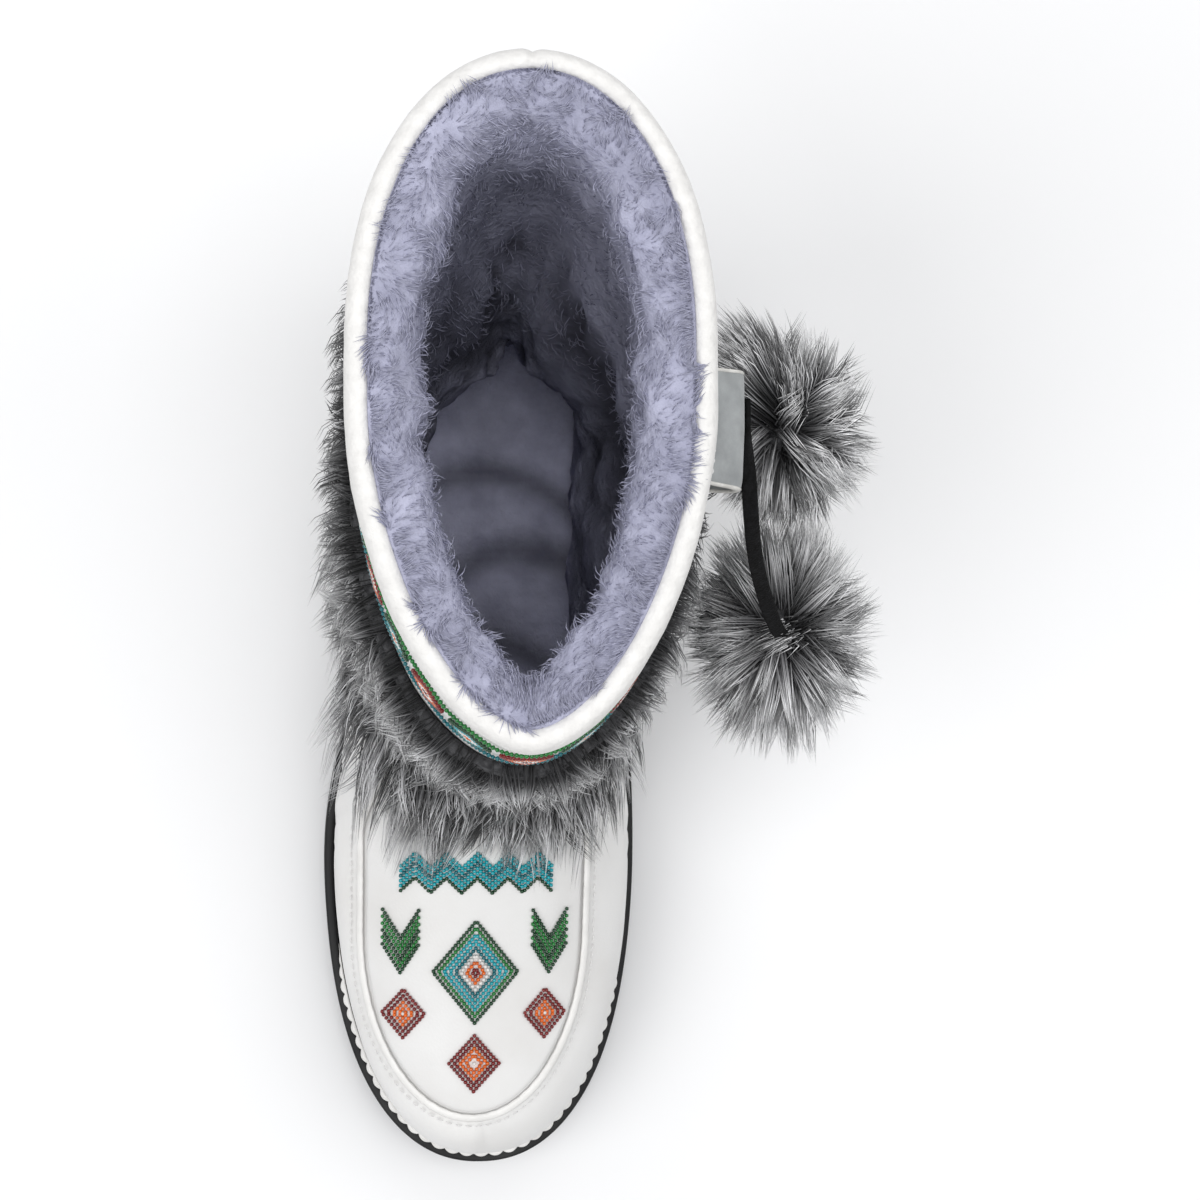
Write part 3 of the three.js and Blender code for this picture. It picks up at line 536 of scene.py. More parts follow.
lining_profile = [  # height under the top edge and depth of the pile from the last
    (1.5, 3.4), (0.6, 3.4), (0.0, 4.6), (0.0, 8.0), (0.4, 11.0), (2.0, 13.5), (5.0, 15.0),
    (9.0, 15.8), (14, 16.0), (20, 15.6), (27, 15.0), (34, 14.2), (42, 13.4), (50, 12.6),
    (60, 11.8), (70, 11.0), (80, 10.4), (90, 10), (100, 9.6), (110, 9.2), (120, 9.0),
]
lining_around, foot_rows, foot_depth = 260, 29, 8.8
shaft_levels = np.interp(
    [shaft_height - down for down, _ in lining_profile],
    instep_height + (shaft_height - instep_height) * (last_rows[cuff_low:, 3] - 1),
    np.arange(cuff_low, top_edge + 1))
foot_levels = np.linspace(shaft_levels[-1], 0.6, foot_rows + 1)[1:]
lining_levels = np.concatenate([shaft_levels, foot_levels])
lining_depths = np.array([depth for _, depth in lining_profile] + [foot_depth] * foot_rows)
level, s, side, depth = np.broadcast_arrays(
    lining_levels[:, None], *places_round(top_edge, lining_around), lining_depths[:, None])
base = off_last(level, s, side, -depth)
curly = ease(3.4, 9, depth)
rumples = ease(top_edge - 1, top_edge - 3, level)
knots = 2.0 * lumps(base, 9, 3) + 1.1 * lumps(base, 4, 4) + 0.45 * lumps(base, 1.9, 5)
crease = rumples * np.exp(-(lumps(base * (1, 1, 0.7), 26, 16) / 0.13) ** 2)
knots += 3.6 * rumples * lumps(base, 17, 15) - 3.0 * crease
heel_pad = (9.5 + 4.5 * np.exp(-((s - 2.45) / 0.25) ** 2)) * ease(1.8, 2.6, s)
heel_pad *= ease(24, 55, base[..., 2]) * (1 - ease(140, 215, base[..., 2]))
lining_points = off_last(level, s, side, -depth - heel_pad - curly * knots)
brim = 1.6 * (1 - ease(4, 16, depth)) * (level > top_edge - 0.3)
lining_points[..., 2] += brim + curly * 0.6 * lumps(base, 5, 6)
# Painted shade: the fleece's tone is darker in its creases and hollows and lighter on its knots
painted_fold_shade = np.clip(1 + (0.05 + 0.13 * rumples) * knots - 0.4 * crease, 0.4, 1.6)
make_piece(
    "fleece_lining", lining_points, grid_quads(len(lining_levels), lining_around)[:, ::-1],
    fleece, "fleece", tone=painted_depth_shade(lining_points[..., 2]) * painted_fold_shade)

insole_around, insole_thick = 220, 4.6
insole_s, insole_side = places_round(0.0, insole_around)
insole_rows, insole_mottle_and_shade = [], []
middle_y = face(0.0, insole_s, insole_side)[:, 1]
middle_y = np.clip(middle_y, heel_back - 0.86 * foot_length, heel_back - 0.12 * foot_length)
middle_share = share_of(middle_y)
middle = np.column_stack([toe_swing * ease(0.18, 0.64, middle_share), middle_y])
insole_edge = beside_last(insole_s, insole_side, -leather - 0.7, level=0.0)
for inward in np.linspace(1, 0, 26):
    plan = middle + (insole_edge - middle) * inward
    share = share_of(plan[:, 1])
    drop = 1.2 * ease(0.96, 1.0, inward)
    height = ledge_line(share) + seat_gap + insole_thick - drop
    rough = np.column_stack([plan, height])
    fold = sum(
        np.exp(-((plan[:, 1] - at + lean * plan[:, 0] + 0.015 * plan[:, 0] ** 2) / wide) ** 2)
        for at, lean, wide in (
            (-14, 0.1, 4.5), (-40, -0.25, 5.5), (-68, 0.15, 5.0), (-96, 0.0, 6.0)))
    curls = 0.7 * lumps(rough, 6, 7) + 0.5 * lumps(rough, 2.6, 8)
    height = height + (curls - 2.6 * fold) * (1 - drop / 1.2)
    insole_rows.append(np.column_stack([plan, height]))
    mottle = 1 + 0.3 * lumps(rough, 20, 17)
    # Painted shade: darker in the folds and towards the rim, over the fleece's own uneven mottle
    insole_mottle_and_shade.append((1.75 - 1.0 * fold) * mottle * (1 - 0.45 * ease(0.75, 1.0, inward)))
edge_row = insole_rows[0].copy()
edge_row[:, 2] = ledge_line(share_of(edge_row[:, 1])) + seat_gap
under_row = np.column_stack([middle, ledge_line(middle_share) + seat_gap])
insole_points = np.concatenate([under_row, edge_row] + insole_rows)
# The insole's rim and underside get a painted shade of 0.4
insole = make_piece(
    "fleece_insole", insole_points, grid_quads(len(insole_rows) + 2, insole_around), fleece,
    "fleece", tone=np.concatenate([np.full(2 * insole_around, 0.4)] + insole_mottle_and_shade))
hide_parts("insole")


def make_strands(name, points, thick, material, slot, sides=3, **values):
    """Tapered hairs: points are rows of root, bends and tip, thick the radius at the root."""
    count, bends = points.shape[0], points.shape[1]
    heading = unit(points[:, -1] - points[:, 0])
    not_along = np.where(np.abs(heading[:, 2:]) < 0.9, (0, 0, 1.0), (1.0, 0, 0))
    aside = unit(np.cross(heading, not_along))
    beyond = np.cross(heading, aside)
    tapers = (1.0, 0.85, 0.55)
    rings = []
    for k in range(bends - 1):
        for corner in range(sides):
            turn = 2 * math.pi * corner / sides
            swing = aside * math.cos(turn) + beyond * math.sin(turn)
            rings.append(points[:, k] + swing * (thick * tapers[k])[:, None])
    rings.append(points[:, -1])
    each = len(rings)
    one = []
    for low in range(0, each - 1, sides):
        high = low + sides
        for a, b in ((a, (a + 1) % sides) for a in range(sides)):
            if high < each - 1:
                one += [(low + a, low + b, high + b), (low + a, high + b, high + a)]
            else:
                one.append((low + a, low + b, high))
    triangles = (np.arange(count)[:, None, None] * each + np.array(one)[None]).reshape(-1, 3)
    climb = np.concatenate([np.repeat(np.arange(bends - 1) / (bends - 1), sides), [1.0]])
    numbers = {"along": np.tile(climb, count)}
    for value, given in values.items():
        numbers[value] = np.repeat(given, each)
    return make_piece(name, np.stack(rings, axis=1), triangles.tolist(), material, slot, **numbers)


fleece_pile = finish_of("lilac_fleece_pile", (0.38, 0.38, 0.5), 0.9, Specular_IOR_Level=0.15)
add_shades(fleece_pile, [
    (0.0, (0.27, 0.273, 0.37)), (0.5, (0.36, 0.364, 0.47)), (1.0, (0.46, 0.465, 0.58)),
], value="along")
tint_by_tone(fleece_pile)
dice = np.random.default_rng(11)
pile_count = 10800
row_at = 1.3 + (len(shaft_levels) - 2.4) * dice.random(pile_count) ** 2.4
column_at = dice.random(pile_count) * lining_around
row_low, column_low = row_at.astype(int), column_at.astype(int) % lining_around
mix_r, mix_c = (row_at - row_low)[:, None], (column_at % 1)[:, None]
near, beside, below, across = (
    lining_points[row_low + r, (column_low + c) % lining_around]
    for r, c in ((0, 0), (0, 1), (1, 0), (1, 1)))
root = (near * (1 - mix_r) + below * mix_r) * (1 - mix_c)
root = root + (beside * (1 - mix_r) + across * mix_r) * mix_c
inward = unit(np.cross(below - near, beside - near))
to_middle = np.array((-6.6, -15, 0)) - root * (1, 1, 0)
to_middle[:, 2] = 12
inward *= np.sign((inward * to_middle).sum(axis=1, keepdims=True) + 1e-6)


def laid_flat(way, slant):
    """The way turned down into the surface that has this slant."""
    return unit(way - slant * (way * slant).sum(axis=1, keepdims=True))


combed = laid_flat(np.stack([lumps(root, 8, seed) for seed in (41, 42, 43)], axis=-1), inward)
wander = unit(dice.normal(size=(pile_count, 3)))
tall = dice.uniform(2.6, 4.8, (pile_count, 1))
curl = np.stack([
    root - inward * 0.4,
    root + inward * tall * 0.3 + combed * tall * 0.35 + wander * 0.4,
    root + inward * tall * 0.38 + combed * tall * 0.85 + wander * 1.0,
], axis=1)
# The pile's tone carries the same painted depth shade as the lining, with a random spread
make_strands(
    "fleece_pile", curl, np.full(pile_count, 0.15), fleece_pile, "fleece",
    tone=painted_depth_shade(root[:, 2]) * dice.uniform(0.85, 1.12, pile_count))

# Apron: a flat panel of the same white leather, inset over the toes and padded a little, with its
# edge turned under where the vamp is gathered to it.
vamp_points = face(np.linspace(0, 10.6, 240)[:, None], *places_round(3.0, 400)).reshape(-1, 3)
vamp = BVHTree.FromPolygons(vamp_points.tolist(), grid_quads(240, 400).tolist())


def straight_below(surface, x, y):
    """The point of a surface straight below a place of the plan, and its slope there."""
    spot, slant = surface.ray_cast(Vector((x, y, 300)), Vector((0, 0, -1)))[:2]
    return spot, slant if spot is None or slant.z > 0 else -slant


def on_vamp(plan):
    """The points of the foot below places beside the apron's middle line, and its slopes there."""
    spots, slants = [], []
    for x, y in plan.reshape(-1, 2) + (apron_middle, apron_front):
        spot, slant = straight_below(vamp, x, y)
        if spot is None:
            spot, slant = vamp.find_nearest(Vector((x, y, 50)))[:2]
            slant = slant if slant.z > 0 else -slant
        spots.append(tuple(spot))
        slants.append(tuple(slant))
    shape = (*plan.shape[:-1], 3)
    return np.array(spots).reshape(shape), np.array(slants).reshape(shape)


def apron_edge(count):
    """Places along the apron's edge, round the toe from corner to corner, and their middles."""
    backs = np.linspace(apron_length, apron_round, count // 4, endpoint=False)
    angles = np.linspace(0, math.pi, count - 2 * len(backs))
    halves = apron_half(backs)
    x = np.concatenate([-halves, -np.cos(angles) * apron_width / 2, halves[::-1]])
    back = np.concatenate([backs, apron_round * (1 - np.sin(angles)), backs[::-1]])
    heart = np.column_stack([np.zeros(len(x)), np.maximum(back, apron_round)])
    return np.column_stack([x, back]), heart


edge_places, edge_hearts = apron_edge(180)
away = edge_places - edge_hearts
inset = 1 - 1.5 / np.maximum(1e-6, np.linalg.norm(away, axis=1, keepdims=True))
shares = 1 - (1 - np.linspace(0, 1, 34)) ** 1.4
plan = edge_hearts[None] + away[None] * inset[None] * shares[:, None, None]
spot, slant = on_vamp(plan)
inside = -from_apron(apron_middle + plan[..., 0], apron_front + plan[..., 1]) - 1.5
crown = 1.25 * ease(-0.4, 1.4, inside) + 0.45 * ease(0, 12, inside) + 0.16 * lumps(spot, 13, 9)
apron_top = spot + slant * (0.45 + crown)[..., None]
apron_under = spot + slant * 0.4
rows, columns = plan.shape[:2]
count = rows * columns
skin_quads = grid_quads(rows, columns, closed_columns=False)
border = np.arange(count - columns, count)
back_left = np.arange(rows) * columns
turned_under = [
    np.column_stack([r[:-1], r[:-1] + count, r[1:] + count, r[1:]])
    for r in (border, back_left, back_left + columns - 1)
]
apron = make_piece(
    "leather_apron", np.concatenate([apron_top.reshape(-1, 3), apron_under.reshape(-1, 3)]),
    np.concatenate([skin_quads, skin_quads[:, ::-1] + count, *turned_under]),
    white_leather, "leather")
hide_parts("apron")

# Apron seam: a thin rolled ridge where vamp and apron are sewn edge to edge, with a line of waxed
# thread stitches beside it.
seam_leather = finish_of("seam_leather", (0.78, 0.77, 0.75), 0.5)
add_shades(seam_leather, [(0.3, (0.72, 0.71, 0.69)), (0.7, (0.82, 0.81, 0.79))], scale=120)
add_grain(seam_leather, "Voronoi", 900, 0.1, 0.6)
waxed_thread = finish_of("waxed_thread", (0.74, 0.73, 0.72), 0.6)
add_shades(waxed_thread, [(0.3, (0.66, 0.65, 0.64)), (0.7, (0.78, 0.77, 0.76))], scale=900)
add_grain(waxed_thread, "Noise", 3000, 0.05, 0.6)


def sweep(centres, aside, above, outline):
    """A bar along centres: outline gives its section as distances aside and above."""
    return np.stack([centres + aside * a + above * b for a, b in outline], axis=1)


def bar_faces(rings, corners, bars=1):
    """Faces of bars that are each made of rings of points and closed at both ends."""
    each = rings * corners
    one = grid_quads(rings, corners).tolist()
    one += [list(range(corners))[::-1], list(range(each - corners, each))]
    return [[each * bar + corner for corner in side] for bar in range(bars) for side in one]


def round_turns(count):
    """Evenly spaced angles once round."""
    return np.linspace(0, 2 * math.pi, count, endpoint=False)


ridge_places, _ = apron_edge(220)
heading = unit(np.gradient(ridge_places, axis=0))
outside = np.column_stack([-heading[:, 1], heading[:, 0], np.zeros(len(heading))])
spot, slant = on_vamp(ridge_places)
outside = laid_flat(outside, slant)
wave = 1 + 0.06 * np.sin(np.arange(len(spot)) * 1.7)
outline = [
    (1.25 * math.cos(turn), 1.0 + (0.85 if math.sin(turn) > 0 else 0.55) * math.sin(turn))
    for turn in round_turns(12)]
seam = make_piece(
    "apron_seam_ridge", sweep(spot, outside * wave[:, None], slant, outline),
    bar_faces(len(spot), len(outline)), seam_leather, "seam")
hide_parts("apron_seam")


def make_stitches(name, spot, slant, way, length, thickness, material, slot):
    """Short rounded stitches lying along way on a surface, sunk at both ends."""
    aside = np.cross(slant, way)
    points = []
    for b in np.linspace(-1, 1, 7):
        middle = spot + way * (b * length / 2) + slant * (thickness * (0.5 - 0.8 * b * b))
        plump = thickness / 2 * math.sqrt(max(0.05, 1 - 0.9 * b * b))
        for turn in round_turns(5):
            swing = aside * (plump * math.cos(turn))
            points.append(middle + swing + slant * (plump * math.sin(turn)))
    make_piece(name, np.stack(points, axis=1), bar_faces(7, 5, len(spot)), material, slot)


stitch_pitch, stitch_length, thread_thick = 2.6, 1.9, 0.45
fine_places, _ = apron_edge(1200)
lengths = run_along(fine_places)
stitch_at = np.arange(2.0, lengths[-1] - 2, stitch_pitch)
stitch_xy = np.column_stack([np.interp(stitch_at, lengths, fine_places[:, k]) for k in (0, 1)])
heading = unit(np.gradient(stitch_xy, axis=0))
beside = np.column_stack([heading[:, 1], -heading[:, 0]]) * 2.1
spot, slant = on_vamp(stitch_xy + beside)
way = laid_flat(np.column_stack([heading, np.zeros(len(heading))]), slant)
make_stitches(
    "apron_stitches", spot + slant * 1.62, slant, way, stitch_length, thread_thick,
    waxed_thread, "seam")

# Welt: a strip of white leather round the toe with a pinked edge, laid on the sole's rim and
# cemented between sole and upper.
welt_reach, bump_pitch, welt_around = 68, 4.4, 520
welt_s, welt_side = places_round(1.0, 2400)
ahead = face(1.0, welt_s, welt_side)[:, 1] < toe_y + welt_reach
order = np.argsort(welt_side[ahead] * welt_s[ahead])
welt_s, welt_side = welt_s[ahead][order], welt_side[ahead][order]
lengths = run_along(face(1.0, welt_s, welt_side))
welt_at = np.linspace(0, lengths[-1], welt_around)
signed = np.interp(welt_at, lengths, welt_s * welt_side)
welt_s, welt_side = np.abs(signed), np.where(signed < 0, -1.0, 1.0)
bumps = int(lengths[-1] / bump_pitch)
wave = np.abs(np.cos(np.pi * bumps * welt_at / lengths[-1])) ** 0.7
fade = ease(0, 6, welt_at) * ease(0, 6, lengths[-1] - welt_at)
taper = ease(-3, 16, welt_at) * ease(-3, 16, lengths[-1] - welt_at)
reach_out = taper * (0.75 + 1.05 * wave * (0.4 + 0.6 * fade))
welt_rows = []
for across, height in (  # share of its reach and height over the rim, round its section
    (0, 0.3), (0.0, 2.1), (0.35, 2.3), (0.7, 2.15), (0.93, 1.7), (1.0, 1.1), (0.95, 0.55),
    (0.75, 0.3),
):
    plan = beside_last(welt_s, welt_side, seat_gap + reach_out * across)
    height = ledge_line(share_of(plan[:, 1])) + rim_height + height
    welt_rows.append(np.column_stack([plan, height]))
welt = make_piece(
    "pinked_welt", np.stack(welt_rows, axis=1), bar_faces(welt_around, len(welt_rows)),
    seam_leather, "seam")
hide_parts("welt")

# Collar binding: a padded roll of white felted wool, folded over the top edge of leather and
# lining and closed with a seam at the back.
felt = finish_of("white_felt", (0.7, 0.69, 0.675), 0.95, Sheen_Weight=0.2, Sheen_Roughness=0.5)
add_shades(felt, [(0.3, (0.66, 0.65, 0.635)), (0.7, (0.74, 0.73, 0.715))], scale=300)
add_grain(felt, "Noise", 700, 0.45, 0.8, Detail=5)
binding_profile = [  # depth under the top edge, distance from the last
    (10.0, 0.3), (10.3, 0.8), (9.6, 1.4), (8.0, 1.8), (5.5, 2.1), (2.5, 2.1), (0.2, 1.9),
    (-1.4, 1.2), (-2.2, 0.0), (-2.45, -1.1), (-2.2, -2.3), (-1.4, -3.2), (0.2, -3.8), (3.0, -4.0),
    (6.0, -3.9), (7.8, -3.6), (8.2, -3.2),  # the rest lies against leather and lining
    (7.8, -2.5), (4.0, -2.5), (0.6, -2.3), (-0.3, -1.1), (0.6, 0.1), (4.0, 0.3), (8.0, 0.3),
]
binding_seen, binding_around = 17, 340
binding_s, binding_side = places_round(top_edge, binding_around)
last_rise = float(face(top_edge, 0, 1)[2] - face(top_edge - 1, 0, 1)[2])
binding_rows = []
for below, out in binding_profile:
    row = off_last(top_edge - max(0, below) / last_rise, binding_s, binding_side, out)
    row[:, 2] += max(0, -below)
    binding_rows.append(row)
binding_points = np.stack(binding_rows)
from_back = np.abs(binding_points[..., 0] - face(top_edge, 3, 1)[0])
pinch = np.exp(-(from_back / 1.1) ** 2) * (binding_s[None, :] > 2.5)
soft = 0.25 * lumps(binding_points, 14, 12) + 0.08 * lumps(binding_points, 3, 13)
heart_line = off_last(top_edge, binding_s, binding_side, -1.1)[None] - np.array([0, 0, 4.0])
seen = (np.arange(len(binding_profile)) < binding_seen)[:, None, None]
plump = unit(binding_points - heart_line) * (soft - 0.9 * pinch)[..., None] * seen
binding = make_piece(
    "felt_collar_roll", binding_points + plump,
    grid_quads(len(binding_profile), binding_around, closed_rows=True), felt, "binding")
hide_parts("collar_binding")

# Fur cuff: a band of long grey faux fur sewn round instep and ankle. Its hairs hang in locks, dark
# at the root and white at the tip, over a dense undercoat.
undercoat = finish_of("fur_undercoat", (0.05, 0.05, 0.052), 0.95)
add_shades(undercoat, [(0.3, (0.015, 0.015, 0.017)), (0.7, (0.09, 0.09, 0.095))], scale=500)
add_grain(undercoat, "Noise", 900, 1.0, 0.8, Detail=5)
fur_hair = finish_of("grey_fur_hair", (0.4, 0.4, 0.41), 0.5)
add_shades(fur_hair, [
    (0.0, (0.01, 0.01, 0.011)), (0.28, (0.05, 0.05, 0.053)), (0.52, (0.3, 0.3, 0.308)),
    (0.74, (0.78, 0.78, 0.79)), (1.0, (1.0, 1.0, 1.0)),
], value="along")
tint_by_tone(fur_hair)

cuff_around = 240
cuff_s, cuff_side = places_round(11.0, cuff_around)
coat_levels = np.linspace(cuff_low - 0.3, cuff_high - 0.16, 28)
level, s, side = np.broadcast_arrays(coat_levels[:, None], cuff_s, cuff_side)
spot = face(level, s, side)
rise = (level - cuff_low) / (cuff_high - cuff_low)
thick = 3.4 * ease(0, 0.08, rise) * (1 - ease(0.93, 1, rise)) + 0.8 + 0.9 * lumps(spot, 6, 14)
coat_outer = off_last(level, s, side, np.maximum(0.4, thick))
coat_inner = off_last(level, s, side, 0.3)
coat_points = np.concatenate([coat_outer, coat_inner[::-1]])
coat = make_piece(
    "fur_cuff_undercoat", coat_points, grid_quads(len(coat_points), cuff_around, closed_rows=True),
    undercoat, "fur")
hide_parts("fur_cuff")

# The locks are set in a spiral up the cuff, each a little group of hairs that draws together
dice = np.random.default_rng(23)
lock_count, hairs_each = 1240, 18
k = np.arange(lock_count)
lock_rise = ((k + 0.5) / lock_count) ** 1.12
lock_level = cuff_low - 0.4 + (cuff_high - cuff_low + 0.4) * lock_rise
golden = 0.6180339887
place = ((k * golden) % 1.0) * cuff_around
low = place.astype(int)
high = (low + 1) % cuff_around
signed = cuff_s * cuff_side
gap = np.where(cuff_side[low] == cuff_side[high], signed[high] - signed[low], 0)
lock_s, lock_side = np.abs(signed[low] + gap * (place % 1)), cuff_side[low]
up, out = slopes(lock_level, lock_s, lock_side)
aside = np.cross(up, out)
lock_root = face(lock_level, lock_s, lock_side)
lower_edge = 1 - ease(0.0, 0.16, lock_rise)
reach = dice.uniform(15.5, 22.5, lock_count) * (1 - lower_edge) + 18.5 * lower_edge
lift = dice.uniform(0.78, 1.08, lock_count)
sway = dice.normal(0, 0.24, lock_count)
fall = 1 - 0.25 * ease(0.85, 1, lock_rise)
hair_points = np.empty((lock_count, hairs_each, 4, 3))
spread = dice.normal(0, 2.8, (lock_count, hairs_each, 2))
own = dice.normal(0, 1, (lock_count, hairs_each, 3))
sideways = np.abs(out[:, 0]) / np.linalg.norm(out, axis=1)
stretch = 1 + lower_edge * (0.6 * sideways - 0.1)
length = (reach * stretch)[:, None] * dice.uniform(0.76, 1.04, (lock_count, hairs_each))
forwards = (1 - ease(0.05, 0.4, lock_rise)) * sideways * ease(-62, -84, lock_root[:, 1])
for bend, t in enumerate((0.0, 0.34, 0.68, 1.0)):  # from root to tip
    gather = 1 - 0.7 * t ** 1.2
    lifted = (lift * (1 - 0.2 * lower_edge) * (1 + 0.35 * forwards))[:, None]
    outwards = (1.12 * t - 0.46 * t * t) * lifted
    downwards = (0.22 * t + 0.58 * t * t) * fall[:, None]
    point = lock_root[:, None] + out[:, None] * (0.6 + length * outwards)[..., None]
    point = point - up[:, None] * (length * downwards)[..., None]
    swung = sway[:, None] * length * t * t + spread[..., 0] * gather
    point = point + aside[:, None] * swung[..., None]
    point = point + up[:, None] * (spread[..., 1] * gather * 1.1)[..., None]
    point[..., 2] -= 2.2 * t * t
    point[..., 1] -= 0.68 * t * length * forwards[:, None]
    hair_points[:, :, bend] = point + own * (0.5 * t)
hair_points = hair_points.reshape(-1, 4, 3)
hair_count = len(hair_points)


def lock_tones(dice, count, dark_share, dark, light):
    """How light each lock is: this share of them dark, and the others light."""
    is_dark = dice.random(count) < dark_share
    return np.where(is_dark, dice.uniform(*dark, count), dice.uniform(*light, count))


# The inner side is darker with a painted shadow, and here and there a hair differs from its lock
lock_tone = lock_tones(dice, lock_count, 0.42, (0.14, 0.45), (0.8, 1.2))
painted_inner_shadow = (lock_side < 0) * ease(0.15, 0.6, lock_rise) * ease(0.5, 1.1, lock_s)
lock_tone *= 1 - 0.5 * painted_inner_shadow
hair_tone = np.repeat(lock_tone, hairs_each) * dice.uniform(0.6, 1.2, hair_count)
hair_tone = np.where(dice.random(hair_count) < 0.15, 1.3 - hair_tone, hair_tone)
hair_thick = dice.uniform(0.2, 0.3, hair_count)
for part, chosen in zip(("lower", "upper"), np.array_split(np.arange(hair_count), 2)):
    make_strands(
        f"fur_cuff_{part}_hair", hair_points[chosen], hair_thick[chosen], fur_hair, "fur",
        tone=hair_tone[chosen])

# Keeper loop: a strap of grey suede, sewn to the outer side of the shaft above and below, that
# stands off as a tunnel for the cord. Its cut edges show pale.
loop_middle_y = -19.4
loop_width, loop_height = 27.0, 33.0
loop_top = shaft_height - 13.0
loop_stand, loop_thick = 9.0, 2.2


def shaft_level(z):
    """The level of the last that has this height, in the upper part of the shaft."""
    rise = 1 + (z - instep_height) / (shaft_height - instep_height)
    return np.interp(rise, last_rows[cuff_high - 2:, 3], np.arange(cuff_high - 2, top_edge + 1))


def flank_point(y, z, distance):
    """Points over the outer side of the shaft at this y and height."""
    level = shaft_level(z)
    low, high = np.zeros(np.shape(y)), np.full(np.shape(y), 3.0)
    for _ in range(30):
        s = (low + high) / 2
        ahead = face(level, s, 1.0)[..., 1] < y
        low, high = np.where(ahead, s, low), np.where(ahead, high, s)
    return off_last(level, (low + high) / 2, 1.0, distance)


suede = finish_of("grey_suede", (0.3, 0.315, 0.32), 0.85, Sheen_Weight=0.2)
add_shades(suede, [(0.3, (0.24, 0.252, 0.256)), (0.7, (0.36, 0.376, 0.38))], scale=170)
add_grain(suede, "Noise", 1800, 0.15, 0.7, Detail=4)
cut_edge = finish_of("pale_cut_edge", (0.66, 0.65, 0.62), 0.8)
add_shades(cut_edge, [(0.3, (0.55, 0.54, 0.51)), (0.7, (0.74, 0.73, 0.7))], scale=400)
add_grain(cut_edge, "Noise", 2200, 0.15, 0.7)

loop_rings, loop_corners = 64, 24
downs = np.linspace(0, 1, loop_rings)
bulge = (0, 0, 0.6, 0.95, 1, 0.95, 0.6, 0, 0)
offs = np.interp(downs, (0, 0.16, 0.22, 0.32, 0.5, 0.68, 0.78, 0.84, 1), bulge)
smoothed = np.convolve(np.pad(offs, 4, "edge"), np.ones(9) / 9, "valid")
offs = smoothed / smoothed.max()


def flat_oval(turn, squareness):
    """Across and up on a round section that is drawn out towards a square by these powers."""
    ways = math.cos(turn), math.sin(turn)
    return [math.copysign(abs(way) ** power, way) for way, power in zip(ways, squareness)]


section = np.array([flat_oval(turn, (0.16, 0.4)) for turn in round_turns(loop_corners)])
ys = loop_middle_y + section[:, 0] * loop_width / 2
deeps = loop_thick / 2 * (1 + 0.9 * section[:, 1]) + 0.12 + 0.35
loop_points = np.stack([
    flank_point(ys, loop_top - loop_height * down, deeps + loop_stand * off)
    for down, off in zip(downs, offs)
])
loop = make_piece(
    "suede_keeper_loop", loop_points, bar_faces(loop_rings, loop_corners), suede, "loop")
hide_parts("keeper_loop")
edge_bars = []
outline = [(0.95 * math.cos(turn), 0.5 * math.sin(turn)) for turn in round_turns(8)]
for index in (0, loop_corners // 2):
    centre = loop_points[:, index]
    aside = unit(np.cross(unit(np.gradient(centre, axis=0)), (0, 1.0, 0)))
    edge_bars.append(sweep(centre, aside, np.array((0, 1.0, 0)), outline))
make_piece(
    "keeper_loop_edges", np.stack(edge_bars), bar_faces(loop_rings, len(outline), len(edge_bars)),
    cut_edge, "loop")
ys = np.arange(loop_middle_y - 11, loop_middle_y + 11.1, 2.4)
spot = np.concatenate([
    flank_point(ys, loop_top - loop_height * down, loop_thick + 0.4)
    for down in (0.045, 0.11, 0.89, 0.955)
])
straight_out, along_foot = (np.tile(way, (len(spot), 1)) for way in ((1.0, 0, 0), (0, 1.0, 0)))
make_stitches(
    "keeper_loop_stitches", spot, straight_out, along_foot, 1.8, 0.5, waxed_thread, "loop")

# Cords: two ends of one flat woven black cord, 4 mm wide. The front one runs over the loop and
# hangs in front of the cuff, the rear one comes out of the tunnel and turns down beside it.
loop_face = np.array([47.514, -19.418, 222.58])  # both routes are measured from here
cord_width, cord_thick, cord_corners = 4.0, 1.6, 16
front_route = np.array([
    (1.2, 7.9, -0.5), (1.3, 3.9, -0.5), (1.4, -0.3, -0.5), (1.5, -4.6, -0.7), (1.7, -8.9, -1.3),
    (2.1, -13.1, -2.5), (2.7, -17.2, -4.8), (3.5, -21.1, -8.1), (4.5, -24.7, -12.2),
    (5.7, -28.1, -16.9), (7.1, -31.4, -21.9), (8.7, -34.6, -27.1), (10.5, -37.8, -32.3),
    (12.4, -41.0, -37.5), (14.4, -44.0, -42.7), (16.5, -46.6, -47.9), (18.6, -48.4, -53.3),
    (20.5, -49.4, -58.9),
])
rear_route = np.array([
    (-3.4, -0.2, -0.5), (-3.4, 3.2, -0.5), (-3.4, 6.6, -0.5), (-3.5, 10.0, -0.6),
    (-3.5, 13.4, -0.8), (-3.2, 16.7, -1.4), (-2.2, 19.7, -2.6), (-0.5, 22.0, -4.3),
    (1.8, 23.2, -6.4), (4.4, 23.1, -8.6), (6.9, 21.9, -10.8), (9.2, 20.0, -13.0),
    (11.2, 17.7, -15.4), (12.9, 15.2, -18.0), (14.3, 12.8, -20.9), (15.5, 10.6, -24.1),
])
woven = finish_of("black_woven_cord", (0.004, 0.004, 0.004), 0.85, Specular_IOR_Level=0.15)
add_shades(woven, [(0.35, (0.002, 0.002, 0.002)), (0.7, (0.008, 0.008, 0.009))], scale=500)
add_grain(woven, "Voronoi", 1500, 0.3, 0.8)


def smooth_line(points, steps):
    """A smooth curve through points, with this many steps between each two."""
    ends = np.concatenate([[2 * points[0] - points[1]], points, [2 * points[-1] - points[-2]]])
    places = [(i, t) for i in range(len(points) - 1) for t in np.arange(steps) / steps]
    return np.array([through(*ends[i:i + 4], t) for i, t in places] + [points[-1]])


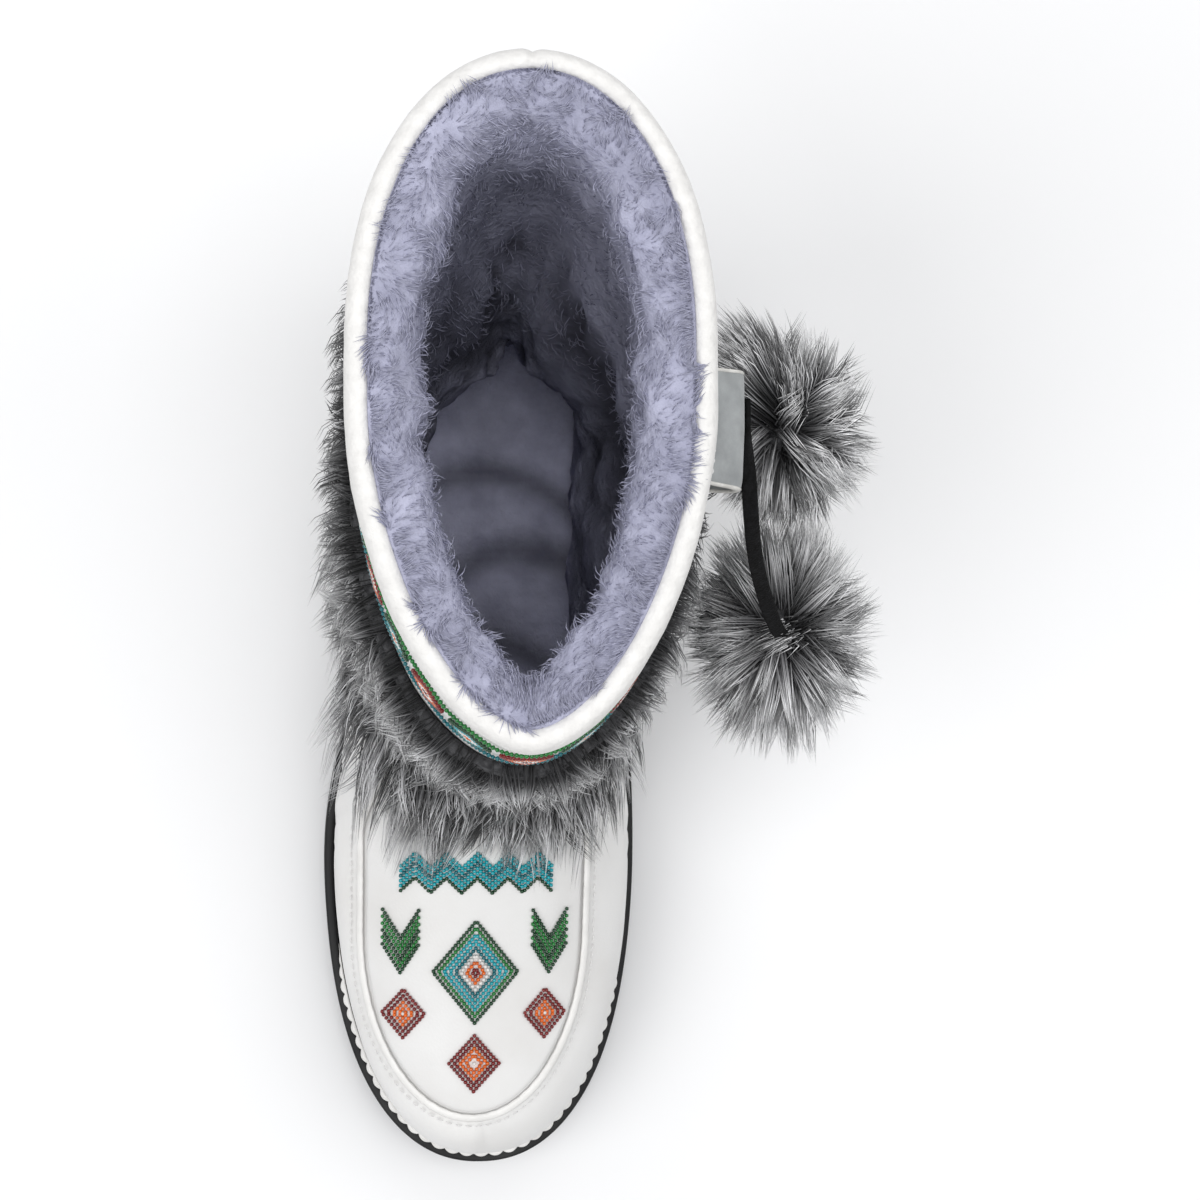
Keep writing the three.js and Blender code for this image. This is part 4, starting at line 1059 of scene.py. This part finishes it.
def cord_points(line, twist):
    """A flat cord with round edges along a line, upright at the start and then twisted."""
    upright = np.array([0, 0, 1.0])
    rows = []
    turned = twist * ease(0.04, 0.34, np.linspace(0, 1, len(line)))
    for spot, way, twisted in zip(line, unit(np.gradient(line, axis=0)), turned):
        upright = unit(upright - way * (upright @ way))
        sideways = np.cross(way, upright)
        broad = upright * math.cos(twisted) + sideways * math.sin(twisted)
        flat = np.cross(way, broad)
        for wide, thick in (flat_oval(turn, (0.55, 0.7)) for turn in round_turns(cord_corners)):
            rows.append(spot + broad * (wide * cord_width / 2) + flat * (thick * cord_thick / 2))
    return np.array(rows)


cord_lines, cords = {}, {}
for name, route, twist in (("front", front_route, 1.45), ("rear", rear_route, 0.3)):
    line = smooth_line(route + loop_face, 6)
    cord_lines[name] = line
    cords[name] = make_piece(
        f"flat_cord_{name}", cord_points(line, twist), bar_faces(len(line), cord_corners),
        woven, "cord")
    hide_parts(f"cord_{name}")

# Pompoms: two balls of the same grey fur, its long hairs tied at the heart round the cord's end.
# Each is pressed against the cuff on one side.
lock_count, hairs_each = 330, 20
hair_count = lock_count * hairs_each
squash = np.array([0.8, 1.0, 0.92])
golden_turn = 2.399963
# Centre from the loop's face, radius, seed, way to the knot, and the stretch of cord that this many
# locks lie over
pompoms = (
    ("front", (22.5, -47.8, -75.0), 29.0, 31, (-0.15, 0.05, 1.0), (0.97, 1.0, 4)),
    ("rear", (17.5, 3.4, -32.5), 24.5, 37, (-0.6, 0.1, 0.75), (0.22, 0.97, 56)),
)
for name, centre, radius, seed, knot, (hidden_from, hidden_to, lying_over) in pompoms:
    dice = np.random.default_rng(seed)
    centre = loop_face + centre
    k = np.arange(lock_count)
    height = 1 - 2 * (k + 0.5) / lock_count
    turn = k * golden_turn
    ball = np.sqrt(1 - height**2)
    lock_way = np.column_stack([ball * np.cos(turn), ball * np.sin(turn), height])
    lock_way = unit(lock_way + dice.normal(0, 0.05, lock_way.shape))
    knot = unit(np.array(knot))
    off_knot = lock_way - (lock_way @ knot)[:, None] * knot
    combed = unit(off_knot) * ease(-0.7, 0.3, lock_way @ knot)[:, None]
    spread = dice.normal(0, 0.15, (lock_count, hairs_each, 3))
    wave = dice.normal(0, 0.2, (lock_count, 1, 3))
    own = dice.normal(0, 1, (lock_count, hairs_each, 3))
    reach = dice.uniform(1.02, 1.24, (lock_count, 1))
    reach = reach * dice.uniform(0.8, 1.08, (lock_count, hairs_each))
    hairs = np.empty((lock_count, hairs_each, 4, 3))
    for bend, (t, r) in enumerate(((0.0, 0.2), (0.34, 0.5), (0.68, 0.77), (1.0, 1.0))):
        bent = (combed[:, None] * 0.95 + wave) * t * t
        way = unit(lock_way[:, None] + spread * (1 - 0.72 * t) + bent)
        point = way * (radius * reach * r)[..., None]
        point[..., 2] -= radius * 0.17 * t * t
        hairs[:, :, bend] = centre + point * squash + own * 0.5 * t
    # Every third lock near the knot lies over the cord
    over = np.argsort(-(lock_way @ knot))[:lying_over * 3:3]
    line = cord_lines[name]
    laid = np.linspace(hidden_from, hidden_to, lying_over)[dice.permutation(lying_over)]
    laid_on = line[(laid * (len(line) - 1)).astype(int)]
    away = laid_on - centre
    away[:, 2] = 0
    away = unit(away)
    strewn = dice.normal(0, 1.0, (len(over), hairs_each, 3)) * (1, 1, 0.35)
    for bend, (along, rise, beyond, wide) in enumerate((
        (0.15, 0, 0, 1.2), (0.65, 2.0, 0, 1.8), (1.0, 2.8, 0, 2.3), (1.0, 0.6, 5.5, 2.8)
    )):
        point = centre + (laid_on - centre) * along + away * beyond
        point[:, 2] += rise
        hairs[over, :, bend] = point[:, None] + strewn * wide
    tones = np.repeat(lock_tones(dice, lock_count, 0.3, (0.16, 0.45), (0.9, 1.25)), hairs_each)
    tones = tones * dice.uniform(0.6, 1.2, hair_count)
    strands = make_strands(
        f"pompom_{name}_hair", hairs.reshape(-1, 4, 3), dice.uniform(0.2, 0.29, hair_count),
        fur_hair, "fur", tone=tones)
    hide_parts(f"pompom_{name}")
    tilt = np.linspace(0.03, math.pi - 0.03, 22)
    tilt, turn = np.broadcast_arrays(tilt[:, None], round_turns(40))
    flat = np.sin(tilt)
    way = np.stack([flat * np.cos(turn), flat * np.sin(turn), np.cos(tilt)], axis=-1)
    core = centre + way * squash * (radius * 0.44 + 1.2 * lumps(way * radius, 6, seed))[..., None]
    heart = make_piece(
        f"pompom_{name}_heart", core, grid_quads(*tilt.shape)[:, ::-1], undercoat, "fur")
    length = float(run_along(line)[-1])

# Beadwork: glass seed beads of 1.3 mm, couched down row by row in lozenges, chevrons and zigzags on
# the apron and in a band round the front of the shaft.
bead_pitch = 1.26
bead_finishes = {}
for colour, shade in {
    "turquoise": (0.01, 0.38, 0.44), "teal": (0.005, 0.15, 0.18), "green": (0.012, 0.2, 0.035),
    "dark_green": (0.006, 0.055, 0.018), "orange": (0.78, 0.14, 0.008), "red": (0.2, 0.008, 0.008),
    "white": (0.84, 0.83, 0.8),
}.items():
    bead_glass = finish_of(
        f"bead_glass_{colour}", shade, 0.24, Coat_Weight=0.15, Coat_Roughness=0.08)
    darker = tuple(0.7 * part for part in shade)
    add_shades(bead_glass, [(0.35, darker), (0.65, shade)], scale=700)
    bead_finishes[colour] = (bead_glass, [])


def bead_row(corners, closed=True):
    """Evenly spaced bead places along a row through these corners, and the row's direction."""
    corners = np.array(corners, float)
    line = np.concatenate([corners, corners[:1]]) if closed else corners
    run = run_along(line)
    number = max(1, round(run[-1] / bead_pitch))
    at = (np.arange(number) + (0 if closed else 0.5)) * run[-1] / number
    spots, ahead, behind = (
        np.column_stack([np.interp(np.clip(place, 0, run[-1]), run, line[:, k]) for k in (0, 1)])
        for place in (at, at + 0.3, at - 0.3))
    return spots, ahead - behind


def lozenge(middle, wide, tall, colours):
    """Rows of beads in diamonds, one in another, from the outer row inwards."""
    rows = []
    for k, colour in enumerate(colours):
        left = 1 - k * bead_pitch * 1.02 * math.hypot(wide, tall) / (wide * tall)
        if left * min(wide, tall) < 0.8:
            rows.append((colour, (np.array([middle], float), np.array([[1.0, 0.0]]))))
            break
        x, y = wide * left, tall * left
        ways = ((0, -1), (1, 0), (0, 1), (-1, 0))
        rows.append((colour, bead_row([(middle[0] + a * x, middle[1] + b * y) for a, b in ways])))
    return rows


# Motifs on the apron, measured from its front on the middle line
apron_rows = lozenge((0, 45), 12.5, 15.5, (
    "dark_green", "green", "turquoise", "turquoise", "teal", "white", "orange", "red"))
apron_rows += lozenge((0, 17), 7.4, 8.6, ("red", "red", "orange", "orange", "white", "white"))
for sign in (-1, 1):
    apron_rows += lozenge((sign * 21, 32), 6.2, 7.4, ("red", "red", "orange", "orange", "white"))
    for k, colour in enumerate((
        "dark_green", "green", "dark_green", "green", "green", "dark_green",
    )):
        low = 46.5 + 2.1 * k
        chevron = [(sign * 16.5, low + 7), (sign * 22.0, low - 2), (sign * 27.5, low + 7)]
        apron_rows.append((colour, bead_row(chevron, closed=False)))
for k, colour in enumerate((
    "dark_green", "turquoise", "turquoise", "teal", "turquoise", "turquoise",
)):
    zigzag = [(-22.5 + 4.5 * i, 69 + 1.5 * k + (4.5 if i % 2 else 0)) for i in range(11)]
    apron_rows.append((colour, bead_row(zigzag, closed=False)))

apron_skin = BVHTree.FromPolygons(apron_top.reshape(-1, 3).tolist(), skin_quads.tolist())
for colour, (spots, headings) in apron_rows:
    for (u, v), (du, dv) in zip(spots, headings):
        spot, slant = straight_below(apron_skin, apron_middle + u, apron_front + v)
        if spot is not None:
            bead_finishes[colour][1].append((spot, slant, Vector((du, dv, 0))))

# Motifs of the band, measured round the shaft from its front and up from the band's middle
band_s, band_side = places_round(14.0, 600)
band_spots = face(14.0, band_s, band_side)
from_front = run_along(band_spots)
signed_round = from_front.copy()
signed_round[band_side < 0] -= from_front[-1] + np.linalg.norm(band_spots[0] - band_spots[-1])
shaft_rows = []
warm, cool = ("red", "orange", "white", "red"), ("dark_green", "turquoise", "white", "orange")
for i in range(-6, 5):
    shaft_rows += lozenge((i * 15.0, 0), 6.0, 8.0, cool if i % 2 else warm)
for offset in (-11.5, 11.5):
    line = [(x, offset + (1.6 if k % 2 else -1.6)) for k, x in enumerate(np.arange(-97.5, 68, 7.5))]
    shaft_rows.append(("green" if offset > 0 else "teal", bead_row(line, closed=False)))
band_height = 217.0
order = np.argsort(signed_round)
for colour, (spots, headings) in shaft_rows:
    level = shaft_level(band_height + spots[:, 1])
    turned_s = np.interp(spots[:, 0], signed_round[order], (band_s * band_side)[order])
    place_s, place_side = np.abs(turned_s), np.where(turned_s < 0, -1.0, 1.0)
    up, out = slopes(level, place_s, place_side)
    aside = np.cross(up, out)
    base = face(level, place_s, place_side) + out * 0.25
    for spot, slant, way in zip(base, out, aside * headings[:, :1] + up * headings[:, 1:]):
        bead_finishes[colour][1].append((Vector(spot), Vector(slant), Vector(way)))

barrel = [(-0.54, 0.36), (0.0, 0.68), (0.54, 0.36)]  # place along the bead, radius
bead_sides = 6
bead_dice = np.random.default_rng(5)
for colour, (bead_glass, beads) in bead_finishes.items():
    spot = np.array([b[0] for b in beads])
    slant = unit(np.array([b[1] for b in beads]))
    way = np.array([b[2] for b in beads]) + 0.06 * bead_dice.normal(size=spot.shape)
    way = laid_flat(way, slant)
    across = np.cross(slant, way)
    plump = bead_dice.uniform(0.94, 1.05, (len(beads), 1))
    points = []
    for length, girth in barrel:
        for turn in round_turns(bead_sides):
            swing = across * math.cos(turn) + slant * math.sin(turn)
            points.append(spot + slant * 0.6 + (way * length + swing * girth) * plump)
    make_piece(
        f"beads_{colour}", np.stack(points, axis=1),
        bar_faces(len(barrel), bead_sides, len(beads)), bead_glass, "beads")
